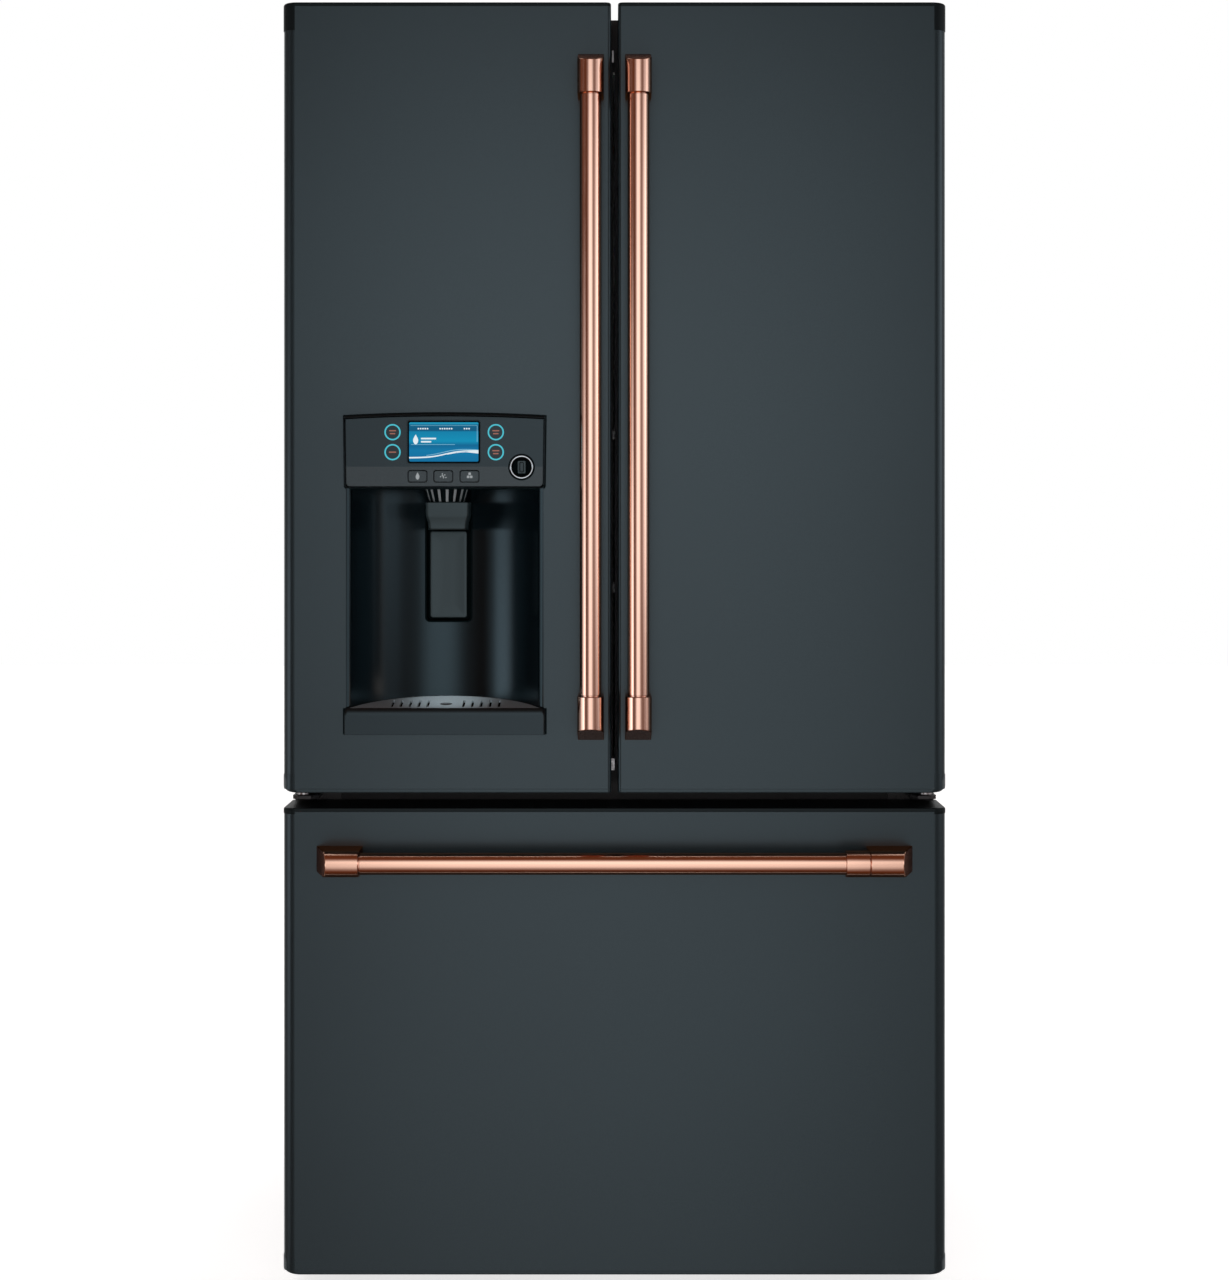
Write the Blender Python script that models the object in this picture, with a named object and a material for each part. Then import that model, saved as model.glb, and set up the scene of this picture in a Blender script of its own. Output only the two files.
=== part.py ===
"""French door refrigerator with a bottom freezer drawer and an ice and water dispenser.

Metres, +Z up. The origin is on the floor under the middle of the object's box. The doors face -Y,
and +X is to the right of someone who stands in front of it.
"""

from math import cos, pi, radians, sin

import bmesh
import bpy
from mathutils import Matrix, Vector

# ---------------------------------------------------------------- driving dimensions
WIDTH = 0.908
DEPTH = 0.933
DOOR_TOP = 1.772

GAP = 0.0003  # between pieces that touch
HANDLE_REACH = 0.065
DOOR_THICKNESS = 0.100
GASKET_THICKNESS = 0.011
CASE_DEPTH = 0.743
CASE_WIDTH = 0.902
CASE_TOP = 1.745
CASE_BOTTOM = 0.028
SHEET = 0.003  # steel and liner walls

Y_HANDLE = -DEPTH / 2
Y_FACE = Y_HANDLE + HANDLE_REACH
Y_DOOR_BACK = Y_FACE + DOOR_THICKNESS
Y_GASKET = Y_DOOR_BACK + GASKET_THICKNESS
Y_CASE = Y_GASKET + 0.001
Y_CASE_BACK = Y_CASE + CASE_DEPTH
Y_REAR = DEPTH / 2

HALF = WIDTH / 2
CASE_HALF = CASE_WIDTH / 2
CENTRE_GAP = 0.0095
DOOR_BOTTOM = 0.692
DRAWER_TOP = 0.6715
DRAWER_BOTTOM = 0.034
GASKET_INNER = {"left": 0.0025, "right": 0.0005}
CAP_LIP = 0.0055  # the strip of a door's end cap that shows past its skin
CAP_HEIGHT = 0.038
CAP_PROUD = 0.0007
CORNER_OUTER, CORNER_INNER = 0.017, 0.005  # radii of a door's upright front edges

OPENING_HALF = 0.405
FOOD_LOW, FOOD_HIGH = 0.722, 1.698
FREEZER_LOW, FREEZER_HIGH = 0.112, 0.632
LINER_BACK = 0.395
STEP_Y, STEP_Z = 0.180, 0.260  # the machine compartment's corner of the freezer

PIN_X = HALF - 0.022
PIN_Y = Y_FACE + 0.0565
PIN_RADIUS = 0.006
PIN_HOLE = 0.0065
ARM_HALF = 0.014
ARM_LOW = CASE_TOP + GAP
ARM_THICKNESS = 0.004

MULLION_PIVOT_X = -0.024
MULLION_PIVOT_Y = Y_CASE + 0.0045
MULLION_WIDTH = 0.050
MULLION_THICKNESS = 0.022
MULLION_LOW, MULLION_HIGH = 0.730, 1.690

HANDLE_X = 0.0322
HANDLE_TOP, HANDLE_BOTTOM = 1.701, 0.7645
DRAWER_HANDLE_HALF = 0.4067
DRAWER_HANDLE_Z = 0.602
BAR_RADIUS = 0.0145
MOUNT_RADIUS = 0.01775
MOUNT_LENGTH = 0.063
MOUNT_SLANT = 0.019
COLLAR_LENGTH = 0.032

PANEL_LEFT, PANEL_RIGHT = -0.3696, -0.0938
PANEL_LOW, PANEL_HIGH = 1.1078, 1.2108
PANEL_PROUD = 0.009
HOUSING_LEFT, HOUSING_RIGHT = -0.3665, -0.0969
HOUSING_LOW, HOUSING_HIGH = 0.7750, 1.2050
HOUSING_PROUD = 0.0025
HOUSING_BACK = Y_DOOR_BACK - 0.007
RECESS_X = (HOUSING_LEFT + HOUSING_RIGHT) / 2
RECESS_RADIUS = 0.1468
RECESS_DEPTH = 0.078
RECESS_HALF = 0.130
RECESS_LOW = 0.8053
LEDGE_LOW = 0.7718
LEDGE_PROUD = 0.010
LEDGE_LIP = 0.0035
TRAY_SLOPE = radians(6.1)
DISPLAY = (-0.2818, -0.1831, 1.1421, 1.2000)
BUTTONS = {"button_water": -0.2683, "button_crushed": -0.2332, "button_cubed": -0.1975}
BUTTON_SIZE = (0.0264, 0.0166)
BUTTON_Z = 1.1242
PORT_X, PORT_Z = -0.1266, 1.1368
PADDLE_X = RECESS_X
PADDLE_SIZE = (0.0516, 0.006, 0.121)
PADDLE_TOP = 1.0497
PADDLE_Y = -0.3295
CHUTE_Y = (-0.3760, -0.3285)
CHUTE_X = (PADDLE_X - 0.0303, PADDLE_X + 0.0303)

BIN_BACK = Y_DOOR_BACK + GAP
BIN_FRONT = -0.180
BIN_INNER, BIN_OUTER = 0.066, 0.382
DIKE_INNER, DIKE_OUTER = 0.050, 0.398
DIKE_LOW, DIKE_HIGH = 0.750, 1.690
DIKE_Y = -0.250
DIKE_WALL = 0.014

SHELF_FRONT, SHELF_BACK = -0.075, 0.385
CRISPER_FRONT, CRISPER_BACK = -0.070, 0.330
CRISPER_LOW, CRISPER_HIGH = 0.735, 0.945

SLIDE_Z = 0.445
SLIDE_FRONT, SLIDE_BACK = -0.283, 0.165
BASKET_HALF = 0.372
BASKET_LOW, BASKET_HIGH = 0.130, 0.470

LEG_X, LEG_Y = 0.380, -0.235
ROLLER_X, ROLLER_Y, ROLLER_RADIUS = 0.380, 0.385, 0.020
COMPARTMENT_Y = 0.200
COMPARTMENT_TOP = 0.235
FAN_CENTRE = (0.060, 0.330, 0.142)


# ---------------------------------------------------------------- scene and materials
for old in list(bpy.data.objects):
    bpy.data.objects.remove(old)

part_collection = bpy.data.collections.new("french_door_refrigerator")
tool_collection = bpy.data.collections.new("cutters_and_joiners")
bpy.context.scene.collection.children.link(part_collection)
bpy.context.scene.collection.children.link(tool_collection)


def make_material(name, colour, roughness, metallic=0.0, alpha=1.0):
    material = bpy.data.materials.new(name)
    material.use_nodes = True
    shader = material.node_tree.nodes["Principled BSDF"]
    shader.inputs["Base Color"].default_value = (*colour, 1.0)
    shader.inputs["Roughness"].default_value = roughness
    shader.inputs["Metallic"].default_value = metallic
    shader.inputs["Alpha"].default_value = alpha
    return material


MATTE_BLACK = make_material("matte_black_steel", (0.030, 0.038, 0.043), 0.45, 0.2)
COPPER = make_material("brushed_copper", (0.78, 0.45, 0.32), 0.28, 1.0)
BLACK_PLASTIC = make_material("black_plastic", (0.012, 0.014, 0.016), 0.40)
GLOSS_BLACK = make_material("gloss_black_plastic", (0.008, 0.011, 0.014), 0.15)
WHITE_LINER = make_material("white_liner", (0.86, 0.87, 0.87), 0.35)
GASKET_RUBBER = make_material("gasket_rubber", (0.05, 0.05, 0.055), 0.70)
CLEAR_PLASTIC = make_material("clear_plastic", (0.90, 0.94, 0.96), 0.08, 0.0, 0.30)
SHELF_GLASS = make_material("shelf_glass", (0.80, 0.90, 0.90), 0.05, 0.0, 0.35)
SCREEN_GLASS = make_material("screen_glass", (0.02, 0.32, 0.60), 0.10)
STEEL = make_material("zinc_steel", (0.55, 0.56, 0.57), 0.35, 1.0)
DARK_STEEL = make_material("painted_dark_steel", (0.03, 0.03, 0.033), 0.50, 0.3)
GREY_PLASTIC = make_material("grey_plastic", (0.35, 0.37, 0.39), 0.45)


# ---------------------------------------------------------------- modelling helpers
def add_object(name, mesh, material, centre):
    """Links an object whose mesh is moved so that its origin is at centre."""
    mesh.transform(Matrix.Translation(-Vector(centre)))
    mesh.materials.clear()
    mesh.materials.append(material)
    obj = bpy.data.objects.new(name, mesh)
    obj.location = centre
    part_collection.objects.link(obj)
    return obj


def mesh_of(bm, name):
    mesh = bpy.data.meshes.new(name)
    bm.to_mesh(mesh)
    bm.free()
    return mesh


def add_cube(bm, x, y, z):
    """Adds a cube that fills three spans, each (low, high), and returns its edges."""
    made = bmesh.ops.create_cube(bm, size=1.0)["verts"]
    spans = [sorted(span) for span in (x, y, z)]
    size = Vector([high - low for low, high in spans])
    middle = Vector([(high + low) / 2 for low, high in spans])
    bmesh.ops.scale(bm, vec=size, verts=made)
    bmesh.ops.translate(bm, vec=middle, verts=made)
    return list({edge for vert in made for edge in vert.link_edges}), middle


def box(name, x, y, z, material, rounds=()):
    """A box; each of rounds is (axis, test of the edge's middle, radius, segments)."""
    bm = bmesh.new()
    _, middle = add_cube(bm, x, y, z)
    for axis, test, radius, segments in rounds:
        chosen = []
        for edge in bm.edges:
            run = edge.verts[1].co - edge.verts[0].co
            centre = (edge.verts[0].co + edge.verts[1].co) / 2
            if abs(run[axis]) > 0.99 * run.length and test(centre):
                chosen.append(edge)
        bmesh.ops.bevel(
            bm, geom=chosen, offset=radius, segments=segments, profile=0.5, affect="EDGES"
        )
    return add_object(name, mesh_of(bm, name), material, middle)


def boxes(name, spans, material=BLACK_PLASTIC):
    """Several separate boxes in one mesh, used as one cutter."""
    bm = bmesh.new()
    for x, y, z in spans:
        add_cube(bm, x, y, z)
    return add_object(name, mesh_of(bm, name), material, (0, 0, 0))


def cylinder(name, radius, start, end, material, segments=32, end_radius=None):
    """A round bar or cone from one point to another."""
    start, end = Vector(start), Vector(end)
    run = end - start
    bm = bmesh.new()
    bmesh.ops.create_cone(
        bm,
        cap_ends=True,
        segments=segments,
        radius1=radius,
        radius2=radius if end_radius is None else end_radius,
        depth=run.length,
    )
    turn = Vector((0, 0, 1)).rotation_difference(run).to_matrix().to_4x4()
    bm.transform(Matrix.Translation((start + end) / 2) @ turn)
    mesh = mesh_of(bm, name)
    mesh.shade_smooth()
    mesh.set_sharp_from_angle(angle=radians(40))
    return add_object(name, mesh, material, (start + end) / 2)


def combine(obj, operation, *tools):
    """Joins or cuts obj with each tool, which then only serves as a guide."""
    for tool in tools:
        part_collection.objects.unlink(tool)
        tool_collection.objects.link(tool)
        tool.hide_render = True
        tool.display_type = "WIRE"
        modifier = obj.modifiers.new(tool.name, "BOOLEAN")
        modifier.operation = operation
        modifier.solver = "EXACT"
        modifier.object = tool
    return obj


def cut(obj, *tools):
    return combine(obj, "DIFFERENCE", *tools)


def join(obj, *tools):
    return combine(obj, "UNION", *tools)


def axis_empty(name, point, *pieces):
    """An empty on a joint's axis that carries the pieces which move about it."""
    empty = bpy.data.objects.new(name, None)
    empty.location = point
    part_collection.objects.link(empty)
    bpy.context.view_layer.update()
    for piece in pieces:
        piece.parent = empty
        piece.matrix_parent_inverse = empty.matrix_world.inverted()
    return empty


def mirrored(side, span):
    """A span of x given for the right side, put on the side asked for."""
    return (side * span[0], side * span[1])


# ---------------------------------------------------------------- cabinet
def make_cabinet_shell():
    """The steel case: wrap, back, front flanges and the bar between the compartments."""
    shell = box(
        "cabinet_shell",
        (-CASE_HALF, CASE_HALF),
        (Y_CASE, Y_CASE_BACK),
        (CASE_BOTTOM, CASE_TOP),
        MATTE_BLACK,
    )
    inside = box(
        "case_inside",
        (-CASE_HALF + SHEET, CASE_HALF - SHEET),
        (Y_CASE + SHEET, Y_CASE_BACK - SHEET),
        (CASE_BOTTOM + SHEET, CASE_TOP - SHEET),
        STEEL,
    )
    mouths = boxes(
        "case_mouths",
        [
            ((-OPENING_HALF, OPENING_HALF), (Y_CASE - 0.01, Y_CASE + 0.01), (low, high))
            for low, high in ((FOOD_LOW, FOOD_HIGH), (FREEZER_LOW, FREEZER_HIGH))
        ],
    )
    machine_room = box(
        "machine_room",
        (-CASE_HALF + 0.020, CASE_HALF - 0.020),
        (COMPARTMENT_Y, Y_CASE_BACK + 0.01),
        (CASE_BOTTOM - 0.01, COMPARTMENT_TOP - 0.012),
        STEEL,
    )
    return cut(shell, inside, mouths, machine_room)


def make_liner(name, low, high, corner=None):
    """A moulded tub, open at the front; corner is the step over the machine compartment."""
    side = OPENING_HALF - GAP
    liner = box(name, (-side, side), (Y_CASE + GAP, LINER_BACK), (low, high), WHITE_LINER)
    inner = side - SHEET
    spans = [((-inner, inner), (Y_CASE - 0.01, LINER_BACK - SHEET), (low + SHEET, high - SHEET))]
    if corner:
        step_y, step_z = corner
        bite = box(
            "freezer_step",
            (-side - 0.01, side + 0.01),
            (step_y, LINER_BACK + 0.01),
            (low - 0.01, step_z),
            STEEL,
        )
        cut(liner, bite)
        spans = [
            ((-inner, inner), (Y_CASE - 0.01, LINER_BACK - SHEET), (step_z + SHEET, high - SHEET)),
            ((-inner, inner), (Y_CASE - 0.01, step_y - SHEET), (low + SHEET, high - SHEET)),
        ]
    for number, span in enumerate(spans):
        cut(liner, boxes(f"{name}_hollow_{number}", [span]))
    return liner


def make_base_frame():
    """Two rails under the case, a front bar, the machine pan and the rollers' axles."""
    low = 0.015
    high = CASE_BOTTOM - GAP
    pan_x = CASE_HALF - 0.024
    frame = box("base_frame", (-0.405, 0.405), (-0.262, -0.210), (low, high), DARK_STEEL)
    for side in (-1, 1):
        rail = box(
            f"base_rail_{side}",
            mirrored(side, (0.352, 0.405)),
            (-0.215, Y_CASE_BACK - 0.004),
            (low, high),
            STEEL,
        )
        join(frame, rail)
    pan = box(
        "machine_pan",
        (-pan_x, pan_x),
        (COMPARTMENT_Y + 0.003, Y_CASE_BACK - 0.004),
        (high - 0.002, high + 0.004),
        STEEL,
    )
    join(frame, pan)
    reach = 0.016
    for side in (-1, 1):
        slot = box(
            f"roller_slot_{side}",
            mirrored(side, (ROLLER_X - 0.0135, ROLLER_X + 0.0135)),
            (ROLLER_Y - ROLLER_RADIUS - 0.004, ROLLER_Y + ROLLER_RADIUS + 0.004),
            (-0.01, 0.060),
            STEEL,
        )
        cut(frame, slot)
        axle = cylinder(
            f"roller_axle_{side}",
            0.0035,
            (side * (ROLLER_X - reach), ROLLER_Y, ROLLER_RADIUS),
            (side * (ROLLER_X + reach), ROLLER_Y, ROLLER_RADIUS),
            STEEL,
            16,
        )
        join(frame, axle)
        thread = cylinder(
            f"leg_thread_{side}",
            0.0056,
            (side * LEG_X, LEG_Y, 0),
            (side * LEG_X, LEG_Y, 0.05),
            STEEL,
            20,
        )
        cut(frame, thread)
    return frame


def make_leg(side, name):
    """A levelling leg: a round foot on a stud that screws into the frame's front bar."""
    foot = cylinder(
        name,
        0.017,
        (side * LEG_X, LEG_Y, 0),
        (side * LEG_X, LEG_Y, 0.010),
        GREY_PLASTIC,
        24,
    )
    stud = cylinder(
        "stud_" + name,
        0.005,
        (side * LEG_X, LEG_Y, 0.005),
        (side * LEG_X, LEG_Y, 0.0270),
        STEEL,
        16,
    )
    join(foot, stud)
    axis_empty(name + "_axis", (side * LEG_X, LEG_Y, 0), foot)
    return foot


def make_roller(side, name):
    half = 0.012
    at = (ROLLER_Y, ROLLER_RADIUS)
    roller = cylinder(
        name,
        ROLLER_RADIUS,
        (side * ROLLER_X - half, *at),
        (side * ROLLER_X + half, *at),
        GREY_PLASTIC,
        32,
    )
    bore = cylinder(
        "bore_" + name,
        0.0040,
        (side * ROLLER_X - 0.03, *at),
        (side * ROLLER_X + 0.03, *at),
        STEEL,
        16,
    )
    cut(roller, bore)
    axis_empty(name + "_axis", (side * ROLLER_X, *at), roller)
    return roller


def make_machine_cover():
    """The pressed cover over the machine compartment, with vent slots."""
    side = CASE_HALF - 0.026
    low, high = 0.040, COMPARTMENT_TOP - 0.003
    cover = box(
        "machine_cover",
        (-side, side),
        (Y_CASE_BACK + GAP, Y_REAR),
        (low, high),
        GREY_PLASTIC,
        [(2, lambda p: p.y > Y_CASE_BACK + 0.01, 0.006, 2)],
    )
    inside = box(
        "cover_inside",
        (-side + 0.002, side - 0.002),
        (Y_CASE_BACK - 0.01, Y_REAR - 0.002),
        (low + 0.002, high - 0.002),
        STEEL,
    )
    slots = []
    for column in range(2):
        for row in range(7):
            x = -0.335 + 0.370 * column
            z = low + 0.034 + 0.020 * row
            slots.append(((x, x + 0.300), (Y_CASE_BACK, Y_REAR + 0.01), (z, z + 0.006)))
    return cut(cover, inside, boxes("cover_slots", slots))


def make_compressor():
    """The sealed compressor: a turned shell on a mounting plate."""
    centre = Vector((-0.210, 0.325, 0.0))
    profile = [
        (0.0005, 0.196),
        (0.045, 0.192),
        (0.068, 0.176),
        (0.078, 0.150),
        (0.079, 0.118),
        (0.084, 0.116),
        (0.084, 0.110),
        (0.079, 0.108),
        (0.076, 0.080),
        (0.060, 0.058),
        (0.0005, 0.052),
    ]
    bm = bmesh.new()
    rim = [bm.verts.new((radius, 0, z)) for radius, z in profile]
    for first, second in zip(rim, rim[1:]):
        bm.edges.new((first, second))
    bmesh.ops.spin(
        bm,
        geom=bm.verts[:] + bm.edges[:],
        axis=(0, 0, 1),
        cent=(0, 0, 0),
        angle=2 * pi,
        steps=28,
    )
    bmesh.ops.remove_doubles(bm, verts=bm.verts, dist=0.00005)
    bmesh.ops.holes_fill(bm, edges=bm.edges)
    bmesh.ops.recalc_face_normals(bm, faces=bm.faces)
    bm.transform(Matrix.Translation(centre))
    mesh = mesh_of(bm, "compressor")
    mesh.shade_smooth()
    shell = add_object("compressor", mesh, DARK_STEEL, centre)
    plate = box(
        "compressor_plate",
        (centre.x - 0.105, centre.x + 0.105),
        (centre.y - 0.062, centre.y + 0.062),
        (0.034, 0.062),
        STEEL,
    )
    return join(shell, plate)


def make_condenser_fan():
    """Five pitched blades on a hub that turns about X."""
    x, y, z = FAN_CENTRE
    hub = cylinder("condenser_fan", 0.022, (x - 0.014, y, z), (x + 0.014, y, z), BLACK_PLASTIC, 24)
    for number in range(5):
        bm = bmesh.new()
        add_cube(bm, (-0.001, 0.001), (-0.019, 0.019), (0.015, 0.066))
        bm.transform(Matrix.Rotation(radians(30), 4, "Z"))
        bm.transform(Matrix.Rotation(2 * pi * number / 5, 4, "X"))
        bm.transform(Matrix.Translation(FAN_CENTRE))
        join(hub, add_object(f"fan_blade_{number}", mesh_of(bm, "blade"), BLACK_PLASTIC, FAN_CENTRE))
    axis_empty("condenser_fan_axis", FAN_CENTRE, hub)
    return hub


# ---------------------------------------------------------------- hinges
def make_top_hinge(side, name):
    """A steel arm bolted on the case's top, with its pin down into the door."""
    low, high = ARM_LOW, ARM_LOW + ARM_THICKNESS
    arm = box(
        name,
        mirrored(side, (PIN_X - ARM_HALF, PIN_X + ARM_HALF)),
        (PIN_Y - ARM_HALF, Y_CASE + 0.030),
        (low, high),
        STEEL,
        [(2, lambda p: p.y < PIN_Y, 0.012, 4)],
    )
    foot = box(
        name + "_foot",
        mirrored(side, (0.340, PIN_X + ARM_HALF)),
        (Y_CASE + 0.012, Y_CASE + 0.095),
        (low, high),
        STEEL,
    )
    pin = cylinder(
        name + "_pin",
        PIN_RADIUS,
        (side * PIN_X, PIN_Y, low - 0.020),
        (side * PIN_X, PIN_Y, high - 0.001),
        STEEL,
        20,
    )
    return join(arm, foot, pin)


def make_hinge_cover(side, name):
    """The moulded cover over a top hinge's foot."""
    low, high = ARM_LOW, DOOR_TOP - 0.004
    x = mirrored(side, (0.325, CASE_HALF - 0.001))
    cover = box(
        name,
        x,
        (Y_CASE + 0.001, Y_CASE + 0.125),
        (low, high),
        BLACK_PLASTIC,
        [
            (2, lambda p: True, 0.008, 3),
            (0, lambda p: p.z > high - 0.001 and p.y > Y_CASE + 0.05, 0.006, 2),
        ],
    )
    inner = mirrored(side, (0.328, CASE_HALF - 0.004))
    hollow = box(
        name + "_hollow",
        inner,
        (Y_CASE - 0.01, Y_CASE + 0.120),
        (low - 0.01, high - 0.003),
        STEEL,
    )
    return cut(cover, hollow)


def make_centre_hinge(side, name):
    """The bracket in the gap over the drawer, with its pin up into the door."""
    high = 0.684
    plate = box(
        name,
        mirrored(side, (PIN_X - 0.022, PIN_X + 0.014)),
        (PIN_Y - 0.016, Y_CASE - GAP),
        (high - 0.006, high),
        STEEL,
        [(2, lambda p: p.y < PIN_Y, 0.010, 4)],
    )
    flange = box(
        name + "_flange",
        mirrored(side, (0.385, PIN_X + 0.014)),
        (Y_CASE - 0.0043, Y_CASE - GAP),
        (0.658, high - 0.001),
        STEEL,
    )
    pin = cylinder(
        name + "_pin",
        PIN_RADIUS,
        (side * PIN_X, PIN_Y, high - 0.003),
        (side * PIN_X, PIN_Y, high + 0.024),
        STEEL,
        20,
    )
    return join(plate, flange, pin)


# ---------------------------------------------------------------- shelves and drawers inside
def make_shelf(name, x, front, z):
    """A glass shelf in a shallow frame that stands 12 mm high at its front."""
    shelf = box(name, x, (front, SHELF_BACK), (z, z + 0.016), SHELF_GLASS)
    under = box(
        name + "_under",
        (x[0] + 0.012, x[1] - 0.012),
        (front + 0.012, SHELF_BACK - 0.012),
        (z - 0.01, z + 0.010),
        STEEL,
    )
    return cut(shelf, under)


def make_tub(name, x, y, z, wall, material, rounds=()):
    """An open-topped tub."""
    tub = box(name, x, y, z, material, rounds)
    hollow = box(
        name + "_hollow",
        (min(x) + wall, max(x) - wall),
        (min(y) + wall, max(y) - wall),
        (z[0] + wall, z[1] + 0.02),
        STEEL,
    )
    return cut(tub, hollow)


def make_crisper(side, name):
    """A clear drawer with a finger lip along its front's top edge."""
    x = sorted(mirrored(side, (0.007, 0.396)))
    crisper = make_tub(
        name,
        x,
        (CRISPER_FRONT, CRISPER_BACK),
        (CRISPER_LOW, CRISPER_HIGH),
        0.003,
        CLEAR_PLASTIC,
    )
    lip = box(
        name + "_lip",
        (x[0] + 0.02, x[1] - 0.02),
        (CRISPER_FRONT - 0.016, CRISPER_FRONT + 0.001),
        (CRISPER_HIGH - 0.012, CRISPER_HIGH - 0.004),
        STEEL,
    )
    join(crisper, lip)
    axis_empty(name + "_slide", (sum(x) / 2, CRISPER_FRONT, CRISPER_LOW), crisper)
    return crisper


def make_water_filter():
    """The water filter cartridge under the ceiling, which locks with a quarter turn about Y."""
    x, z = 0.340, 1.652
    body = cylinder("water_filter", 0.030, (x, 0.060, z), (x, 0.300, z), GREY_PLASTIC, 32)
    neck = cylinder("filter_neck", 0.022, (x, 0.299, z), (x, 0.330, z), STEEL, 24)
    grip = box("filter_grip", (x - 0.024, x + 0.024), (0.042, 0.062), (z - 0.005, z + 0.005), STEEL)
    join(body, neck, grip)
    axis_empty("filter_twist", (x, 0.060, z), body)
    return body


# ---------------------------------------------------------------- doors
def door_span(side):
    """The x span of a door's skin, inner edge first."""
    return (side * CENTRE_GAP / 2, side * (HALF - CAP_PROUD))


def edge_rounds(side, outer_radius, inner_radius, middle):
    """Rounds for a door's two upright front edges."""
    return [
        (2, lambda p: p.y < Y_FACE + 0.02 and side * p.x > middle, outer_radius, 5),
        (2, lambda p: p.y < Y_FACE + 0.02 and side * p.x < middle, inner_radius, 3),
    ]


def make_door_panel(side, name):
    """The steel skin: a front that wraps round both sides."""
    inner_x, outer_x = door_span(side)
    middle = abs(inner_x + outer_x) / 2
    z = (DOOR_BOTTOM + CAP_LIP, DOOR_TOP - CAP_LIP)
    skin = box(
        name,
        (inner_x, outer_x),
        (Y_FACE, Y_DOOR_BACK - 0.003),
        z,
        MATTE_BLACK,
        edge_rounds(side, CORNER_OUTER, CORNER_INNER, middle),
    )
    fill = box(
        name + "_fill",
        (inner_x + side * SHEET, outer_x - side * SHEET),
        (Y_FACE + SHEET, Y_DOOR_BACK + 0.01),
        (z[0] - 0.01, z[1] + 0.01),
        STEEL,
        edge_rounds(side, CORNER_OUTER - SHEET, CORNER_INNER - SHEET, middle),
    )
    return cut(skin, fill)


def make_door_liner(side, name):
    """The moulded inner door: a tub behind the skin, its two end caps, and the dike round the bins."""
    inner_x, outer_x = door_span(side)
    middle = abs(inner_x + outer_x) / 2
    step = SHEET + GAP
    core_x = (inner_x + side * step, outer_x - side * step)
    liner = box(
        name,
        core_x,
        (Y_FACE + step, Y_DOOR_BACK),
        (DOOR_BOTTOM + 0.001, DOOR_TOP - 0.001),
        WHITE_LINER,
        edge_rounds(side, CORNER_OUTER - step, CORNER_INNER - SHEET, middle),
    )
    for low, high in ((DOOR_BOTTOM, DOOR_BOTTOM + CAP_LIP - GAP), (DOOR_TOP - CAP_LIP + GAP, DOOR_TOP)):
        cap = box(
            f"{name}_cap_{low:.2f}",
            (inner_x, side * HALF),
            (Y_FACE, Y_DOOR_BACK - 0.0005),
            (low, high),
            STEEL,
            edge_rounds(side, CORNER_OUTER, CORNER_INNER, middle),
        )
        join(liner, cap)
    dike = box(
        name + "_dike",
        mirrored(side, (DIKE_INNER, DIKE_OUTER)),
        (Y_DOOR_BACK - 0.001, DIKE_Y),
        (DIKE_LOW, DIKE_HIGH),
        STEEL,
        [(0, lambda p: p.y > DIKE_Y - 0.001, 0.010, 2), (2, lambda p: p.y > DIKE_Y - 0.001, 0.010, 2)],
    )
    join(liner, dike)
    hollows = boxes(
        name + "_hollows",
        [
            (
                (core_x[0] + side * SHEET, core_x[1] - side * SHEET),
                (Y_FACE, Y_DOOR_BACK - SHEET),
                (DOOR_BOTTOM + CAP_HEIGHT, DOOR_TOP - CAP_HEIGHT - 0.010),
            ),
            (
                mirrored(side, (DIKE_INNER + DIKE_WALL, DIKE_OUTER - DIKE_WALL)),
                (Y_DOOR_BACK + GAP / 10, DIKE_Y + 0.01),
                (DIKE_LOW + DIKE_WALL, DIKE_HIGH - DIKE_WALL),
            ),
        ],
    )
    cut(liner, hollows)
    notch = box(
        name + "_notch",
        mirrored(side, (PIN_X - 0.024, HALF + 0.01)),
        (PIN_Y - 0.033, Y_DOOR_BACK + 0.01),
        (ARM_LOW - 0.0015, DOOR_TOP + 0.01),
        STEEL,
    )
    cut(liner, notch)
    for label, low, high in (("top", ARM_LOW - 0.030, DOOR_TOP), ("bottom", DOOR_BOTTOM - 0.01, 0.712)):
        hole = cylinder(
            f"{name}_{label}_hole",
            PIN_HOLE,
            (side * PIN_X, PIN_Y, low),
            (side * PIN_X, PIN_Y, high),
            STEEL,
            20,
        )
        cut(liner, hole)
    return liner


def make_panel_notch(side, panel):
    """Opens the skin's outer side where the hinge arm swings past it."""
    notch = box(
        panel.name + "_notch",
        mirrored(side, (HALF - 0.018, HALF + 0.01)),
        (PIN_Y - 0.033, Y_DOOR_BACK + 0.01),
        (ARM_LOW - 0.0015, DOOR_TOP + 0.01),
        STEEL,
    )
    return cut(panel, notch)


def make_gasket(name, x, z, width=0.016):
    """A flexible magnetic seal round the back of a door."""
    gasket = box(name, x, (Y_DOOR_BACK + GAP, Y_GASKET), z, GASKET_RUBBER)
    hole = box(
        name + "_hole",
        (min(x) + width, max(x) - width),
        (Y_DOOR_BACK - 0.01, Y_GASKET + 0.01),
        (z[0] + width, z[1] - width),
        STEEL,
    )
    return cut(gasket, hole)


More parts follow.
